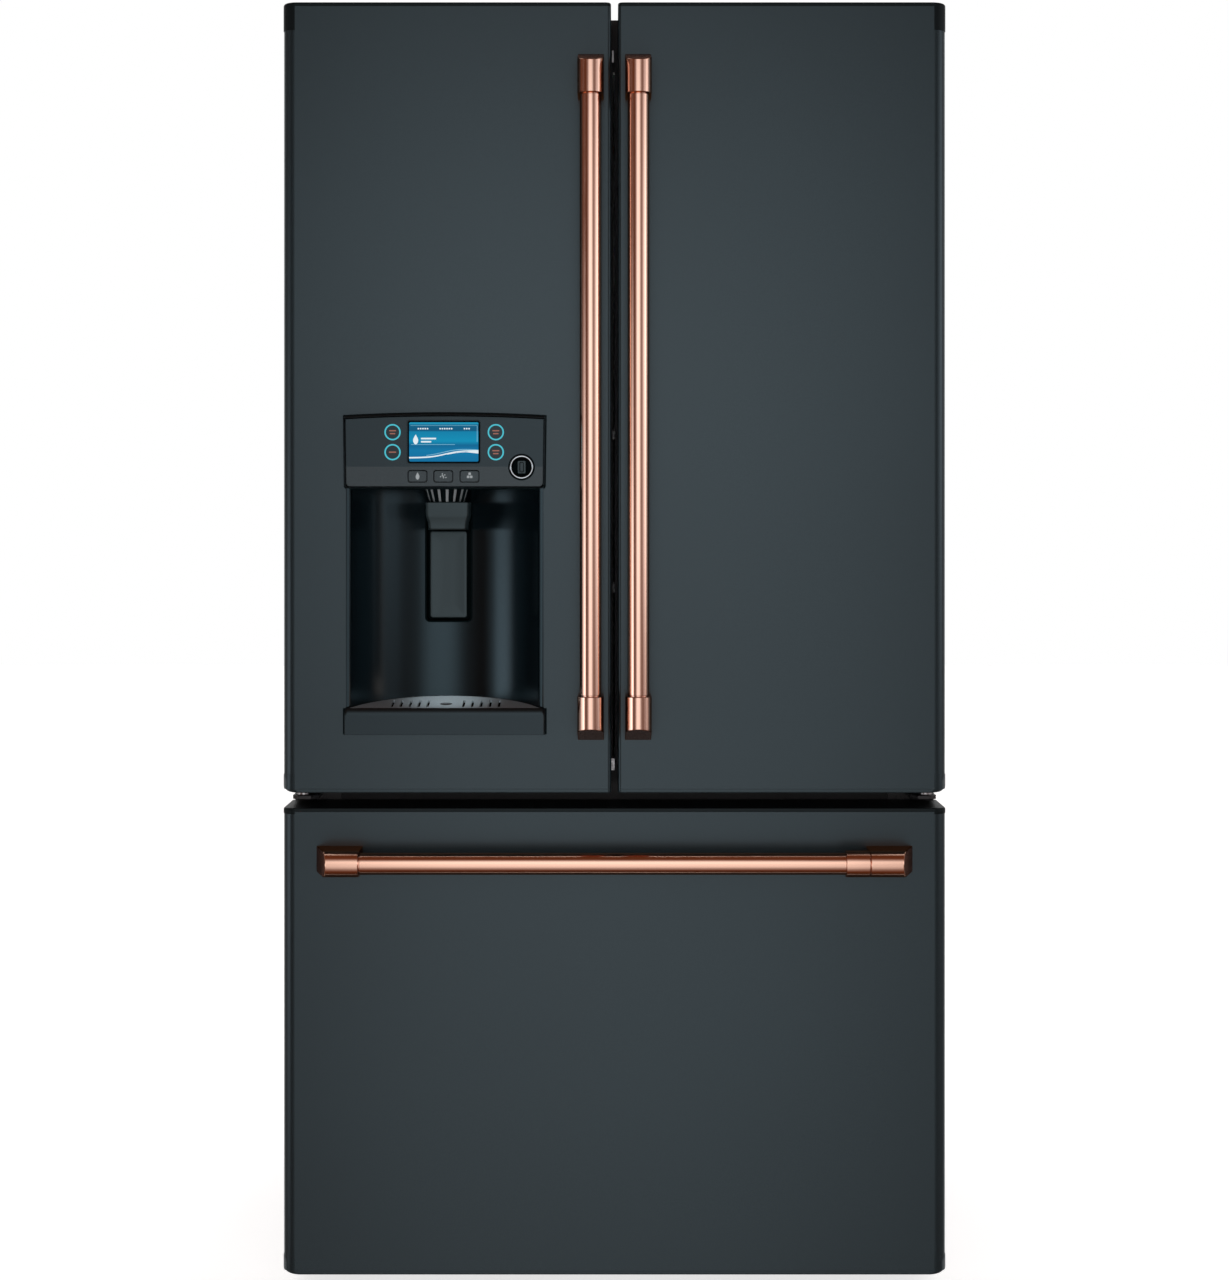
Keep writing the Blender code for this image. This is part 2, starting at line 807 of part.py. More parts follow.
def make_handle(name, start, end, material=COPPER):
    """A round bar between two mounts; each mount's end face slopes towards the door."""
    start, end = Vector(start), Vector(end)
    along = (end - start).normalized()
    length = (end - start).length
    y_axis = Y_HANDLE + MOUNT_RADIUS
    first = start + along * 0.030
    last = end - along * 0.030
    bar = cylinder(name, BAR_RADIUS, (first.x, y_axis, first.z), (last.x, y_axis, last.z), material, 32)
    across = along.cross(Vector((0, 1, 0)))
    for number, origin, sense in ((0, start, 1), (1, start + along * length, -1)):
        bm = bmesh.new()
        bmesh.ops.create_circle(bm, cap_ends=True, segments=32, radius=MOUNT_RADIUS)
        # The section is a round front with straight flanks back to the door.
        for vert in bm.verts:
            a, b = vert.co.x, vert.co.y
            vert.co = across * a + Vector((0, -b if b > 0 else HANDLE_REACH - MOUNT_RADIUS - GAP, 0))
        made = bmesh.ops.extrude_face_region(bm, geom=bm.faces[:])
        moved = [item for item in made["geom"] if isinstance(item, bmesh.types.BMVert)]
        bmesh.ops.translate(bm, vec=along * (sense * MOUNT_LENGTH), verts=moved)
        # The outer end leans: the front is MOUNT_SLANT shorter than the foot at the door.
        depth = HANDLE_REACH - GAP
        for vert in bm.verts:
            if vert not in moved:
                share = (HANDLE_REACH - MOUNT_RADIUS - GAP - vert.co.y) / depth
                vert.co += along * (sense * MOUNT_SLANT * share)
        bmesh.ops.remove_doubles(bm, verts=bm.verts, dist=0.00001)
        bmesh.ops.dissolve_degenerate(bm, edges=bm.edges, dist=0.00001)
        bmesh.ops.recalc_face_normals(bm, faces=bm.faces)
        bm.transform(Matrix.Translation((origin.x, y_axis, origin.z)))
        mount = add_object(
            f"{name}_mount_{number}",
            mesh_of(bm, "mount"),
            material,
            (origin.x, y_axis, origin.z),
        )
        join(bar, mount)
    return bar


# ---------------------------------------------------------------- dispenser
def make_dispenser_housing():
    """The moulded recess with its curved back, and the ledge under it."""
    housing = box(
        "dispenser_housing",
        (HOUSING_LEFT, HOUSING_RIGHT),
        (Y_FACE - HOUSING_PROUD, HOUSING_BACK),
        (HOUSING_LOW, HOUSING_HIGH),
        GLOSS_BLACK,
    )
    ledge = box(
        "ledge",
        (PANEL_LEFT, PANEL_RIGHT),
        (Y_FACE - LEDGE_PROUD, Y_FACE - GAP),
        (LEDGE_LOW, RECESS_LOW + 0.003),
        STEEL,
        [(0, lambda p: p.y < Y_FACE - 0.005 and p.z > LEDGE_LOW + 0.01, 0.007, 4)],
    )
    join(housing, ledge)
    curve = cylinder(
        "recess",
        RECESS_RADIUS,
        (RECESS_X, Y_FACE + RECESS_DEPTH - RECESS_RADIUS, RECESS_LOW),
        (RECESS_X, Y_FACE + RECESS_DEPTH - RECESS_RADIUS, PANEL_LOW),
        STEEL,
        96,
    )
    pocket = box(
        "panel_pocket",
        (PANEL_LEFT + 0.009, PANEL_RIGHT - 0.009),
        (Y_FACE - 0.02, Y_FACE + 0.0215),
        (PANEL_LOW - 0.001, HOUSING_HIGH - 0.0025),
        STEEL,
    )
    seat = box(
        "panel_seat",
        (PANEL_LEFT - 0.01, PANEL_RIGHT + 0.01),
        (Y_FACE - 0.02, Y_FACE),
        (PANEL_LOW - GAP, PANEL_HIGH + 0.01),
        STEEL,
    )
    half = RECESS_HALF
    well = box(
        "ledge_well",
        (RECESS_X - half, RECESS_X + half),
        (Y_FACE - LEDGE_PROUD + LEDGE_LIP, Y_FACE + 0.002),
        (RECESS_LOW, RECESS_LOW + 0.04),
        STEEL,
    )
    half = PADDLE_SIZE[0] / 2 + 0.005
    slot = box(
        "paddle_slot",
        (PADDLE_X - half, PADDLE_X + half),
        (Y_FACE + RECESS_DEPTH - 0.020, HOUSING_BACK - 0.002),
        (PADDLE_TOP - PADDLE_SIZE[2] - 0.0045, PADDLE_TOP + 0.004),
        STEEL,
        [(1, lambda p: p.z < PADDLE_TOP - 0.05, 0.004, 3)],
    )
    wiring = box(
        "wiring_space",
        (HOUSING_LEFT + 0.003, HOUSING_RIGHT - 0.003),
        (Y_FACE + 0.025, HOUSING_BACK + 0.01),
        (PANEL_LOW + 0.003, HOUSING_HIGH - 0.003),
        STEEL,
    )
    return cut(housing, curve, pocket, seat, well, slot, wiring)


def make_control_panel():
    """The bezel over the recess, with its arched top edge and the holes for keys, screen and socket."""
    front = Y_FACE - PANEL_PROUD
    middle = (PANEL_LEFT + PANEL_RIGHT) / 2
    half = (PANEL_RIGHT - PANEL_LEFT) / 2
    rise = 0.0040
    outline = [(PANEL_LEFT + 0.003, PANEL_LOW), (PANEL_RIGHT - 0.003, PANEL_LOW)]
    for step in range(13):
        x = PANEL_RIGHT - 2 * half * step / 12
        outline.append((x, PANEL_HIGH - rise * ((x - middle) / half) ** 2))
    bm = bmesh.new()
    face = bm.faces.new([bm.verts.new((x, front, z)) for x, z in outline])
    made = bmesh.ops.extrude_face_region(bm, geom=[face])
    moved = [item for item in made["geom"] if isinstance(item, bmesh.types.BMVert)]
    bmesh.ops.translate(bm, vec=(0, PANEL_PROUD - GAP, 0), verts=moved)
    bmesh.ops.recalc_face_normals(bm, faces=bm.faces)
    panel = add_object(
        "control_panel",
        mesh_of(bm, "control_panel"),
        GLOSS_BLACK,
        (middle, front, PANEL_LOW),
    )
    plug = box(
        "panel_plug",
        (PANEL_LEFT + 0.010, PANEL_RIGHT - 0.010),
        (Y_FACE - 0.001, Y_FACE + 0.020),
        (PANEL_LOW, HOUSING_HIGH - 0.004),
        STEEL,
    )
    join(panel, plug)
    holes = []
    for x in BUTTONS.values():
        wide, tall = BUTTON_SIZE[0] / 2 + 0.0004, BUTTON_SIZE[1] / 2 + 0.0004
        holes.append(
            ((x - wide, x + wide), (Y_FACE - 0.02, Y_FACE + 0.03), (BUTTON_Z - tall, BUTTON_Z + tall)),
        )
    left, right, low, high = DISPLAY
    holes.append(((left - GAP, right + GAP), (front - 0.01, front + 0.0035), (low - GAP, high + GAP)))
    socket = cylinder(
        "socket",
        0.0135,
        (PORT_X, front - 0.01, PORT_Z),
        (PORT_X, front + 0.014, PORT_Z),
        STEEL,
        32,
    )
    return cut(panel, boxes("panel_holes", holes), socket)


def make_display():
    front = Y_FACE - PANEL_PROUD
    left, right, low, high = DISPLAY
    return box(
        "display_screen",
        (left, right),
        (front - 0.0003, front + 0.0030),
        (low, high),
        SCREEN_GLASS,
    )


def make_button(name, x):
    """A dispenser key, pressed towards +Y."""
    front = Y_FACE - PANEL_PROUD - 0.0006
    wide, tall = BUTTON_SIZE[0] / 2, BUTTON_SIZE[1] / 2
    key = box(
        name,
        (x - wide, x + wide),
        (front, front + 0.014),
        (BUTTON_Z - tall, BUTTON_Z + tall),
        GLOSS_BLACK,
        [(1, lambda p: True, 0.003, 3)],
    )
    axis_empty(name + "_press", (x, front, BUTTON_Z), key)
    return key


def make_paddle():
    """The pad that a glass pushes back; it hangs from a pin along X at its top."""
    width, thick, tall = PADDLE_SIZE
    pad = box(
        "dispenser_paddle",
        (PADDLE_X - width / 2, PADDLE_X + width / 2),
        (PADDLE_Y, PADDLE_Y + thick),
        (PADDLE_TOP - tall, PADDLE_TOP),
        GLOSS_BLACK,
        [(1, lambda p: p.z < PADDLE_TOP - 0.05, 0.003, 2)],
    )
    axis_empty("paddle_pivot", (PADDLE_X, PADDLE_Y + thick / 2, PADDLE_TOP), pad)
    return pad


def make_ice_chute():
    """The outlet over the paddle: a spout with a tapered round bore for the ice."""
    low = PADDLE_TOP + 0.0018
    chute = box("ice_chute", CHUTE_X, CHUTE_Y, (low, PANEL_LOW - GAP), GLOSS_BLACK)
    bore_y = sum(CHUTE_Y) / 2
    bore = cylinder(
        "chute_bore",
        0.017,
        (PADDLE_X, bore_y, low - 0.01),
        (PADDLE_X, bore_y, PANEL_LOW + 0.01),
        STEEL,
        32,
        0.021,
    )
    return cut(chute, bore)


def make_drip_tray():
    """A D-shaped grille in the bottom of the recess, whose top rises to the back so that it drains."""
    low, front_high = RECESS_LOW + GAP, RECESS_LOW + 0.005
    front_y = Y_FACE - LEDGE_PROUD + LEDGE_LIP + 0.001
    at_y = Y_FACE + RECESS_DEPTH - RECESS_RADIUS
    tray = cylinder(
        "drip_tray",
        RECESS_RADIUS - 0.001,
        (RECESS_X, at_y, low),
        (RECESS_X, at_y, low + 0.030),
        STEEL,
        96,
    )
    front = box(
        "tray_front",
        (RECESS_X - 0.2, RECESS_X + 0.2),
        (at_y - 0.2, front_y),
        (low - 0.01, low + 0.05),
        STEEL,
    )
    long, tall = 0.30, 0.06
    top = box(
        "tray_top",
        (RECESS_X - 0.2, RECESS_X + 0.2),
        (front_y - long / 2, front_y + long / 2),
        (front_high, front_high + tall),
        STEEL,
    )
    top.location.y = front_y - sin(TRAY_SLOPE) * tall / 2
    top.location.z = front_high + cos(TRAY_SLOPE) * tall / 2
    top.rotation_euler.x = TRAY_SLOPE
    slots = []
    for number in range(-6, 7):
        if number:
            x = RECESS_X + 0.0125 * number
            slots.append(
                ((x - 0.0018, x + 0.0018), (Y_FACE + 0.008, Y_FACE + 0.050), (low - 0.01, low + 0.05)),
            )
    return cut(tray, front, top, boxes("tray_slots", slots))


# ---------------------------------------------------------------- what the doors carry inside
def make_ice_box():
    """The insulated ice compartment on the left door, open towards the cabinet."""
    x, z = (-0.380, -0.068), (1.215, 1.660)
    case = box("ice_box", x, (BIN_BACK, -0.170), z, WHITE_LINER, [(1, lambda p: True, 0.010, 2)])
    hollow = box(
        "ice_hollow",
        (x[0] + 0.014, x[1] - 0.014),
        (BIN_BACK + 0.012, -0.16),
        (z[0] + 0.014, z[1] - 0.014),
        STEEL,
    )
    return cut(case, hollow)


def make_ice_box_door():
    """The ice compartment's own door, hinged on its outer side."""
    x, z = (-0.380, -0.068), (1.215, 1.660)
    lid = box(
        "ice_box_door",
        x,
        (-0.170 + GAP, -0.153),
        z,
        WHITE_LINER,
        [(1, lambda p: True, 0.010, 2)],
    )
    axis_empty("ice_box_door_axis", (x[0], -0.170 + GAP, z[0]), lid)
    return lid


def make_bin(side, name, low, high):
    """A clear door bin."""
    x = sorted(mirrored(side, (BIN_INNER, BIN_OUTER)))
    return make_tub(
        name,
        x,
        (BIN_BACK, BIN_FRONT),
        (low, high),
        0.003,
        CLEAR_PLASTIC,
        [(2, lambda p: p.y > BIN_FRONT - 0.001, 0.014, 3)],
    )


def make_dairy_bin():
    """The dairy compartment: floor, roof and ends, open towards the cabinet above a low lip."""
    case = box(
        "dairy_bin",
        (BIN_INNER, BIN_OUTER),
        (BIN_BACK, BIN_FRONT),
        (1.520, 1.664),
        CLEAR_PLASTIC,
    )
    hollow = box(
        "dairy_hollow",
        (BIN_INNER + 0.003, BIN_OUTER - 0.003),
        (BIN_BACK + 0.003, BIN_FRONT - 0.003),
        (1.523, 1.661),
        STEEL,
    )
    window = box(
        "dairy_window",
        (BIN_INNER + 0.003, BIN_OUTER - 0.003),
        (BIN_FRONT - 0.01, BIN_FRONT + 0.01),
        (1.548, 1.661),
        STEEL,
    )
    return cut(case, hollow, window)


def make_dairy_lid():
    """The dairy compartment's lid, hinged along X at its top."""
    lid = box(
        "dairy_lid",
        (BIN_INNER, BIN_OUTER),
        (BIN_FRONT + GAP, BIN_FRONT + 0.0033),
        (1.540, 1.664),
        CLEAR_PLASTIC,
    )
    axis_empty("dairy_lid_axis", (0.224, BIN_FRONT + 0.0018, 1.6645), lid)
    return lid


def make_mullion():
    """The folding strip that seals the gap between the doors, at rest folded back, square to them."""
    front = MULLION_PIVOT_X - (MULLION_THICKNESS - 0.0045)
    strip = box(
        "mullion",
        (front, MULLION_PIVOT_X + 0.0045),
        (MULLION_PIVOT_Y, MULLION_PIVOT_Y + MULLION_WIDTH),
        (MULLION_LOW, MULLION_HIGH),
        GREY_PLASTIC,
        [(2, lambda p: True, 0.003, 2)],
    )
    axis_empty("mullion_axis", (MULLION_PIVOT_X, MULLION_PIVOT_Y, MULLION_LOW), strip)
    return strip


# ---------------------------------------------------------------- freezer drawer
def make_drawer_panel():
    z = (DRAWER_BOTTOM + CAP_LIP, DRAWER_TOP - CAP_LIP)
    side = HALF - CAP_PROUD
    rounds = [(2, lambda p: p.y < Y_FACE + 0.02, CORNER_OUTER, 5)]
    skin = box("drawer_panel", (-side, side), (Y_FACE, Y_DOOR_BACK - 0.003), z, MATTE_BLACK, rounds)
    inner_rounds = [(2, lambda p: p.y < Y_FACE + 0.02, CORNER_OUTER - SHEET, 5)]
    fill = box(
        "drawer_fill",
        (-side + SHEET, side - SHEET),
        (Y_FACE + SHEET, Y_DOOR_BACK + 0.01),
        (z[0] - 0.01, z[1] + 0.01),
        STEEL,
        inner_rounds,
    )
    return cut(skin, fill)


def make_drawer_liner():
    """The inner drawer front, its end caps and the dike inside the seal."""
    side = HALF - CAP_PROUD - SHEET - GAP
    rounds = [(2, lambda p: p.y < Y_FACE + 0.02, CORNER_OUTER - SHEET - GAP, 5)]
    liner = box(
        "drawer_liner",
        (-side, side),
        (Y_FACE + SHEET + GAP, Y_DOOR_BACK),
        (DRAWER_BOTTOM + 0.001, DRAWER_TOP - 0.001),
        WHITE_LINER,
        rounds,
    )
    cap_rounds = [(2, lambda p: p.y < Y_FACE + 0.02, CORNER_OUTER, 5)]
    for low, high in (
        (DRAWER_BOTTOM, DRAWER_BOTTOM + CAP_LIP - GAP),
        (DRAWER_TOP - CAP_LIP + GAP, DRAWER_TOP),
    ):
        cap = box(
            f"drawer_cap_{low:.2f}",
            (-HALF, HALF),
            (Y_FACE, Y_DOOR_BACK - 0.0005),
            (low, high),
            STEEL,
            cap_rounds,
        )
        join(liner, cap)
    dike = box(
        "drawer_dike",
        (-0.3825, 0.3825),
        (Y_DOOR_BACK - 0.001, -0.262),
        (0.128, 0.615),
        STEEL,
        [(0, lambda p: p.y > -0.263, 0.008, 2), (2, lambda p: p.y > -0.263, 0.008, 2)],
    )
    join(liner, dike)
    hollows = boxes(
        "drawer_hollows",
        [
            (
                (-side + SHEET, side - SHEET),
                (Y_FACE, Y_DOOR_BACK - SHEET),
                (DRAWER_BOTTOM + CAP_HEIGHT, DRAWER_TOP - CAP_HEIGHT),
            ),
            ((-0.366, 0.366), (Y_DOOR_BACK + GAP / 10, -0.25), (0.142, 0.601)),
        ],
    )
    return cut(liner, hollows)


def make_freezer_basket():
    """The deep drawer tub with the slides' inner members along its rim."""
    front, back = -0.258, 0.160
    basket = make_tub(
        "freezer_basket",
        (-BASKET_HALF, BASKET_HALF),
        (front, back),
        (BASKET_LOW, BASKET_HIGH),
        0.003,
        CLEAR_PLASTIC,
        [(2, lambda p: True, 0.020, 3)],
    )
    for side in (-1, 1):
        member = box(
            f"slide_inner_{side}",
            mirrored(side, (BASKET_HALF - 0.001, 0.3825)),
            (front - 0.0015, back),
            (SLIDE_Z - 0.011, SLIDE_Z + 0.011),
            STEEL,
        )
        join(basket, member)
    return basket


def make_sliding_tray():
    """The shallow tray that slides fore and aft on the basket's rim."""
    z = BASKET_HIGH + GAP
    tray = make_tub(
        "sliding_tray",
        (-BASKET_HALF, BASKET_HALF),
        (-0.245, 0.055),
        (z, z + 0.090),
        0.003,
        CLEAR_PLASTIC,
        [(2, lambda p: True, 0.016, 3)],
    )
    axis_empty("tray_slide", (0, -0.245, z), tray)
    return tray


def make_slide_member(side, name, x, half_height, front):
    return box(
        name,
        mirrored(side, x),
        (front, SLIDE_BACK),
        (SLIDE_Z - half_height, SLIDE_Z + half_height),
        STEEL,
    )


# ---------------------------------------------------------------- assembly
SIDES = ((-1, "left"), (1, "right"))

make_cabinet_shell()
make_liner("fresh_food_liner", FOOD_LOW + GAP, FOOD_HIGH - GAP)
make_liner("freezer_liner", FREEZER_LOW + GAP, FREEZER_HIGH - GAP, (STEP_Y, STEP_Z))
make_base_frame()
make_machine_cover()
make_compressor()
make_condenser_fan()
make_shelf("shelf_upper_left", (-0.398, -0.008), -0.030, 1.420)
make_shelf("shelf_upper_right", (0.008, 0.398), SHELF_FRONT, 1.450)
make_shelf("shelf_lower", (-0.398, 0.398), SHELF_FRONT, 1.185)
make_shelf("crisper_cover", (-0.398, 0.398), SHELF_FRONT, 0.955)
make_water_filter()

for sign, word in SIDES:
    make_leg(sign, f"leveling_leg_{word}")
    make_roller(sign, f"rear_roller_{word}")
    make_top_hinge(sign, f"top_hinge_{word}")
    make_hinge_cover(sign, f"hinge_cover_{word}")
    make_centre_hinge(sign, f"center_hinge_{word}")
    make_crisper(sign, f"crisper_{word}")
    make_slide_member(sign, f"slide_rail_{word}", (0.3925, 0.4012), 0.020, SLIDE_FRONT)

slide_mids = [
    make_slide_member(sign, f"slide_mid_{word}", (0.3835, 0.3915), 0.015, SLIDE_FRONT + 0.004)
    for sign, word in SIDES
]
axis_empty("slide_mids_travel", (0, SLIDE_FRONT, SLIDE_Z), *slide_mids)

doors = {}
for sign, word in SIDES:
    skin_panel = make_panel_notch(sign, make_door_panel(sign, f"{word}_door_panel"))
    gasket_x = mirrored(sign, (GASKET_INNER[word], 0.430))
    handle = make_handle(
        f"{word}_handle",
        (sign * HANDLE_X, 0, HANDLE_BOTTOM),
        (sign * HANDLE_X, 0, HANDLE_TOP),
    )
    doors[word] = [
        skin_panel,
        make_door_liner(sign, f"{word}_door_liner"),
        make_gasket(f"{word}_door_gasket", gasket_x, (0.700, 1.728)),
        handle,
    ]

cutout = box(
    "dispenser_cutout",
    (HOUSING_LEFT - 0.0004, HOUSING_RIGHT + 0.0004),
    (Y_FACE - 0.01, Y_FACE + 0.03),
    (HOUSING_LOW - 0.0004, HOUSING_HIGH + 0.0004),
    STEEL,
)
cut(doors["left"][0], cutout)

doors["left"] += [
    make_dispenser_housing(),
    make_control_panel(),
    make_display(),
    make_ice_chute(),
    make_drip_tray(),
    make_ice_box(),
    make_bin(-1, "left_door_bin", 1.010, 1.120),
]
left_riders = [make_button(name, x) for name, x in BUTTONS.items()]
left_riders += [make_paddle(), make_ice_box_door(), make_mullion()]
doors["right"] += [
    make_dairy_bin(),
    make_bin(1, "middle_bin", 1.260, 1.370),
    make_bin(1, "lower_bin", 1.010, 1.130),
]
right_riders = [make_dairy_lid()]

for sign, word, riders in ((-1, "left", left_riders), (1, "right", right_riders)):
    riding = [piece.parent for piece in riders]
    axis_empty(f"{word}_door_axis", (sign * PIN_X, PIN_Y, DOOR_BOTTOM), *doors[word], *riding)

drawer_handle = make_handle(
    "drawer_handle",
    (-DRAWER_HANDLE_HALF, 0, DRAWER_HANDLE_Z),
    (DRAWER_HANDLE_HALF, 0, DRAWER_HANDLE_Z),
)
collar_end = DRAWER_HANDLE_HALF - MOUNT_LENGTH - 0.0008
collar = cylinder(
    "handle_collar",
    MOUNT_RADIUS,
    (collar_end - COLLAR_LENGTH, Y_HANDLE + MOUNT_RADIUS, DRAWER_HANDLE_Z),
    (collar_end, Y_HANDLE + MOUNT_RADIUS, DRAWER_HANDLE_Z),
    COPPER,
)
collar_bore = cylinder(
    "collar_bore",
    BAR_RADIUS + GAP,
    (collar_end - COLLAR_LENGTH - 0.01, Y_HANDLE + MOUNT_RADIUS, DRAWER_HANDLE_Z),
    (collar_end + 0.01, Y_HANDLE + MOUNT_RADIUS, DRAWER_HANDLE_Z),
    STEEL,
)
cut(collar, collar_bore)

tray = make_sliding_tray()
axis_empty(
    "freezer_drawer_travel",
    (0, Y_FACE, DRAWER_BOTTOM),
    make_drawer_panel(),
    make_drawer_liner(),
    make_gasket("drawer_gasket", (-0.430, 0.430), (0.078, 0.654)),
    drawer_handle,
    collar,
    make_freezer_basket(),
    tray.parent,
)
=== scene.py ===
"""The looks of the French door refrigerator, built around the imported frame.

Metres, +Z up, the doors face -Y. Places are taken from the boxes of the frame's nodes, and the
small numbers are offsets from them.
"""

from math import asin, cos, pi, radians, sin, sqrt

import bmesh
import bpy
from mathutils import Matrix, Vector


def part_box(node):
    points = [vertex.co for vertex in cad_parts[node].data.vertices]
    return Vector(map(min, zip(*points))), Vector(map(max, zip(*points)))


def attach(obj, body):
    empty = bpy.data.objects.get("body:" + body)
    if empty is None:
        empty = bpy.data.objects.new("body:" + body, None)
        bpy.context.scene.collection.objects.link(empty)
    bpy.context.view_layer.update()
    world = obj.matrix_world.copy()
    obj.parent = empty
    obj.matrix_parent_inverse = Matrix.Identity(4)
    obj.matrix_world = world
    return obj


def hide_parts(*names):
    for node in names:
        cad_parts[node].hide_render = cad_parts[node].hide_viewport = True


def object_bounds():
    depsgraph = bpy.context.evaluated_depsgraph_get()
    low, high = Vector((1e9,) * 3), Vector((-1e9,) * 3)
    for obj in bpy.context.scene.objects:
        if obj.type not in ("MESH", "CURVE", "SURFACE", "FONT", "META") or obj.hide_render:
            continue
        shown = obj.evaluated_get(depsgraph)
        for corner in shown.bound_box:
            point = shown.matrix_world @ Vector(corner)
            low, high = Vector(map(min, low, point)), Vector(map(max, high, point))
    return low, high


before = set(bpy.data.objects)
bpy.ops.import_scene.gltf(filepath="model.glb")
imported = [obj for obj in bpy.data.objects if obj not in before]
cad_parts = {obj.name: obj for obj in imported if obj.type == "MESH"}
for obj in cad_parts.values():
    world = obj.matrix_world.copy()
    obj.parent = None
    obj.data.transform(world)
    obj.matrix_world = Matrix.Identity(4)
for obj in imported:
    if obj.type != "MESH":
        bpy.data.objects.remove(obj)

CAD_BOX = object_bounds()
X, Y, Z = 0, 1, 2
LEFT, RIGHT = -1, 1
WORD = {LEFT: "left", RIGHT: "right"}


def low(node, axis):
    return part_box(node)[0][axis]


def high(node, axis):
    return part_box(node)[1][axis]


def span(node, axis, inset=0.0):
    return low(node, axis) + inset, high(node, axis) - inset


def spans(node):
    return tuple(span(node, axis) for axis in (X, Y, Z))


def centre_of(node, axis):
    return sum(span(node, axis)) / 2


def around(centre, half):
    """The range that reaches as far to each side of its centre."""
    return centre - half, centre + half


def grow(limits, amount):
    """A range made longer at both ends, or shorter if the amount is negative."""
    return limits[0] - amount, limits[1] + amount


FACE = low("left_door_panel", Y)
HALF = CAD_BOX[1].x
DOOR_BACK = low("left_door_gasket", Y) - 0.0003
CASE_FRONT = low("cabinet_shell", Y)
CASE_BACK = high("cabinet_shell", Y)
CASE_TOP = high("cabinet_shell", Z)
CAP_STRIP = low("left_door_panel", Z) - low("left_door_liner", Z) - 0.0003
SIDE_PROUD = 0.0007
CORNER_OUT, CORNER_IN = 0.017, 0.005
DOOR_TOP_ROUND, DOOR_BASE_ROUND = 0.0036, 0.011
DRAWER_TOP_ROUND, DRAWER_BASE_ROUND = 0.003, 0.010
PIN_X, PIN_Y = 0.432, FACE + 0.0565
LINER_WALL = 0.003
FAN_Z = 0.142


# ---------------------------------------------------------------- materials
def link(tree, source, target):
    tree.links.new(source, target)


def node(tree, kind, **settings):
    made = tree.nodes.new(kind)
    for name, value in settings.items():
        if name in made.inputs:
            made.inputs[name].default_value = value
        else:
            setattr(made, name, value)
    return made


def scalar(tree, source, low_out, high_out, low_in=0.3, high_in=0.7):
    """Maps a noise value to a range."""
    limits = {"From Min": low_in, "From Max": high_in, "To Min": low_out, "To Max": high_out}
    ranged = node(tree, "ShaderNodeMapRange", **limits)
    link(tree, source, ranged.inputs["Value"])
    return ranged.outputs["Result"]


def new_material(name, slot):
    """A material with nodes that is marked with its slot; also its tree and its shader."""
    material = bpy.data.materials.new(name)
    material.use_nodes = True
    material["slot"] = slot
    tree = material.node_tree
    return material, tree, tree.nodes["Principled BSDF"]


def place_parts(tree, kind):
    """The three parts of a texture place."""
    place = node(tree, "ShaderNodeTexCoord")
    split = node(tree, "ShaderNodeSeparateXYZ")
    link(tree, place.outputs[kind], split.inputs[0])
    return split.outputs


def noise(tree, scale, stretch=(1, 1, 1), detail=3.0):
    place = node(tree, "ShaderNodeTexCoord")
    mapping = node(tree, "ShaderNodeMapping", Scale=stretch)
    link(tree, place.outputs["Object"], mapping.inputs["Vector"])
    made = node(tree, "ShaderNodeTexNoise", Scale=scale, Detail=detail)
    link(tree, mapping.outputs["Vector"], made.inputs["Vector"])
    return made.outputs["Fac"]


def finish(
    name,
    slot,
    colour,
    roughness,
    grain=900.0,
    stretch=(1, 1, 1),
    spread=0.06,
    rough_spread=0.06,
    relief=0.10,
    depth=0.0002,
    cloud=3.0,
    **sockets,
):
    """A surface with fine grain in its colour, gloss and relief, over soft large patches."""
    material, tree, shader = new_material(name, slot)
    fine = noise(tree, grain, stretch)
    patches = noise(tree, cloud, detail=2.0)
    shade = node(tree, "ShaderNodeMath", operation="MULTIPLY")
    link(tree, scalar(tree, fine, 1 - spread, 1 + spread), shade.inputs[0])
    link(tree, scalar(tree, patches, 1 - spread, 1 + spread), shade.inputs[1])
    tint = node(tree, "ShaderNodeVectorMath", operation="SCALE")
    tint.inputs[0].default_value = colour
    link(tree, shade.outputs[0], tint.inputs["Scale"])
    link(tree, tint.outputs[0], shader.inputs["Base Color"])
    gloss = max(roughness - rough_spread, 0.02), min(roughness + rough_spread, 1.0)
    link(tree, scalar(tree, fine, *gloss), shader.inputs["Roughness"])
    bump = node(tree, "ShaderNodeBump", Strength=relief, Distance=depth)
    link(tree, fine, bump.inputs["Height"])
    link(tree, bump.outputs["Normal"], shader.inputs["Normal"])
    for socket, value in sockets.items():
        shader.inputs[socket.replace("_", " ")].default_value = value
    return material


def glow(name, slot, colour, strength, base=(0.01, 0.01, 0.01)):
    """A printed or lit mark."""
    return finish(
        name, slot, base, 0.35, spread=0.1, relief=0.02,
        Emission_Color=(*colour, 1.0), Emission_Strength=strength,
    )


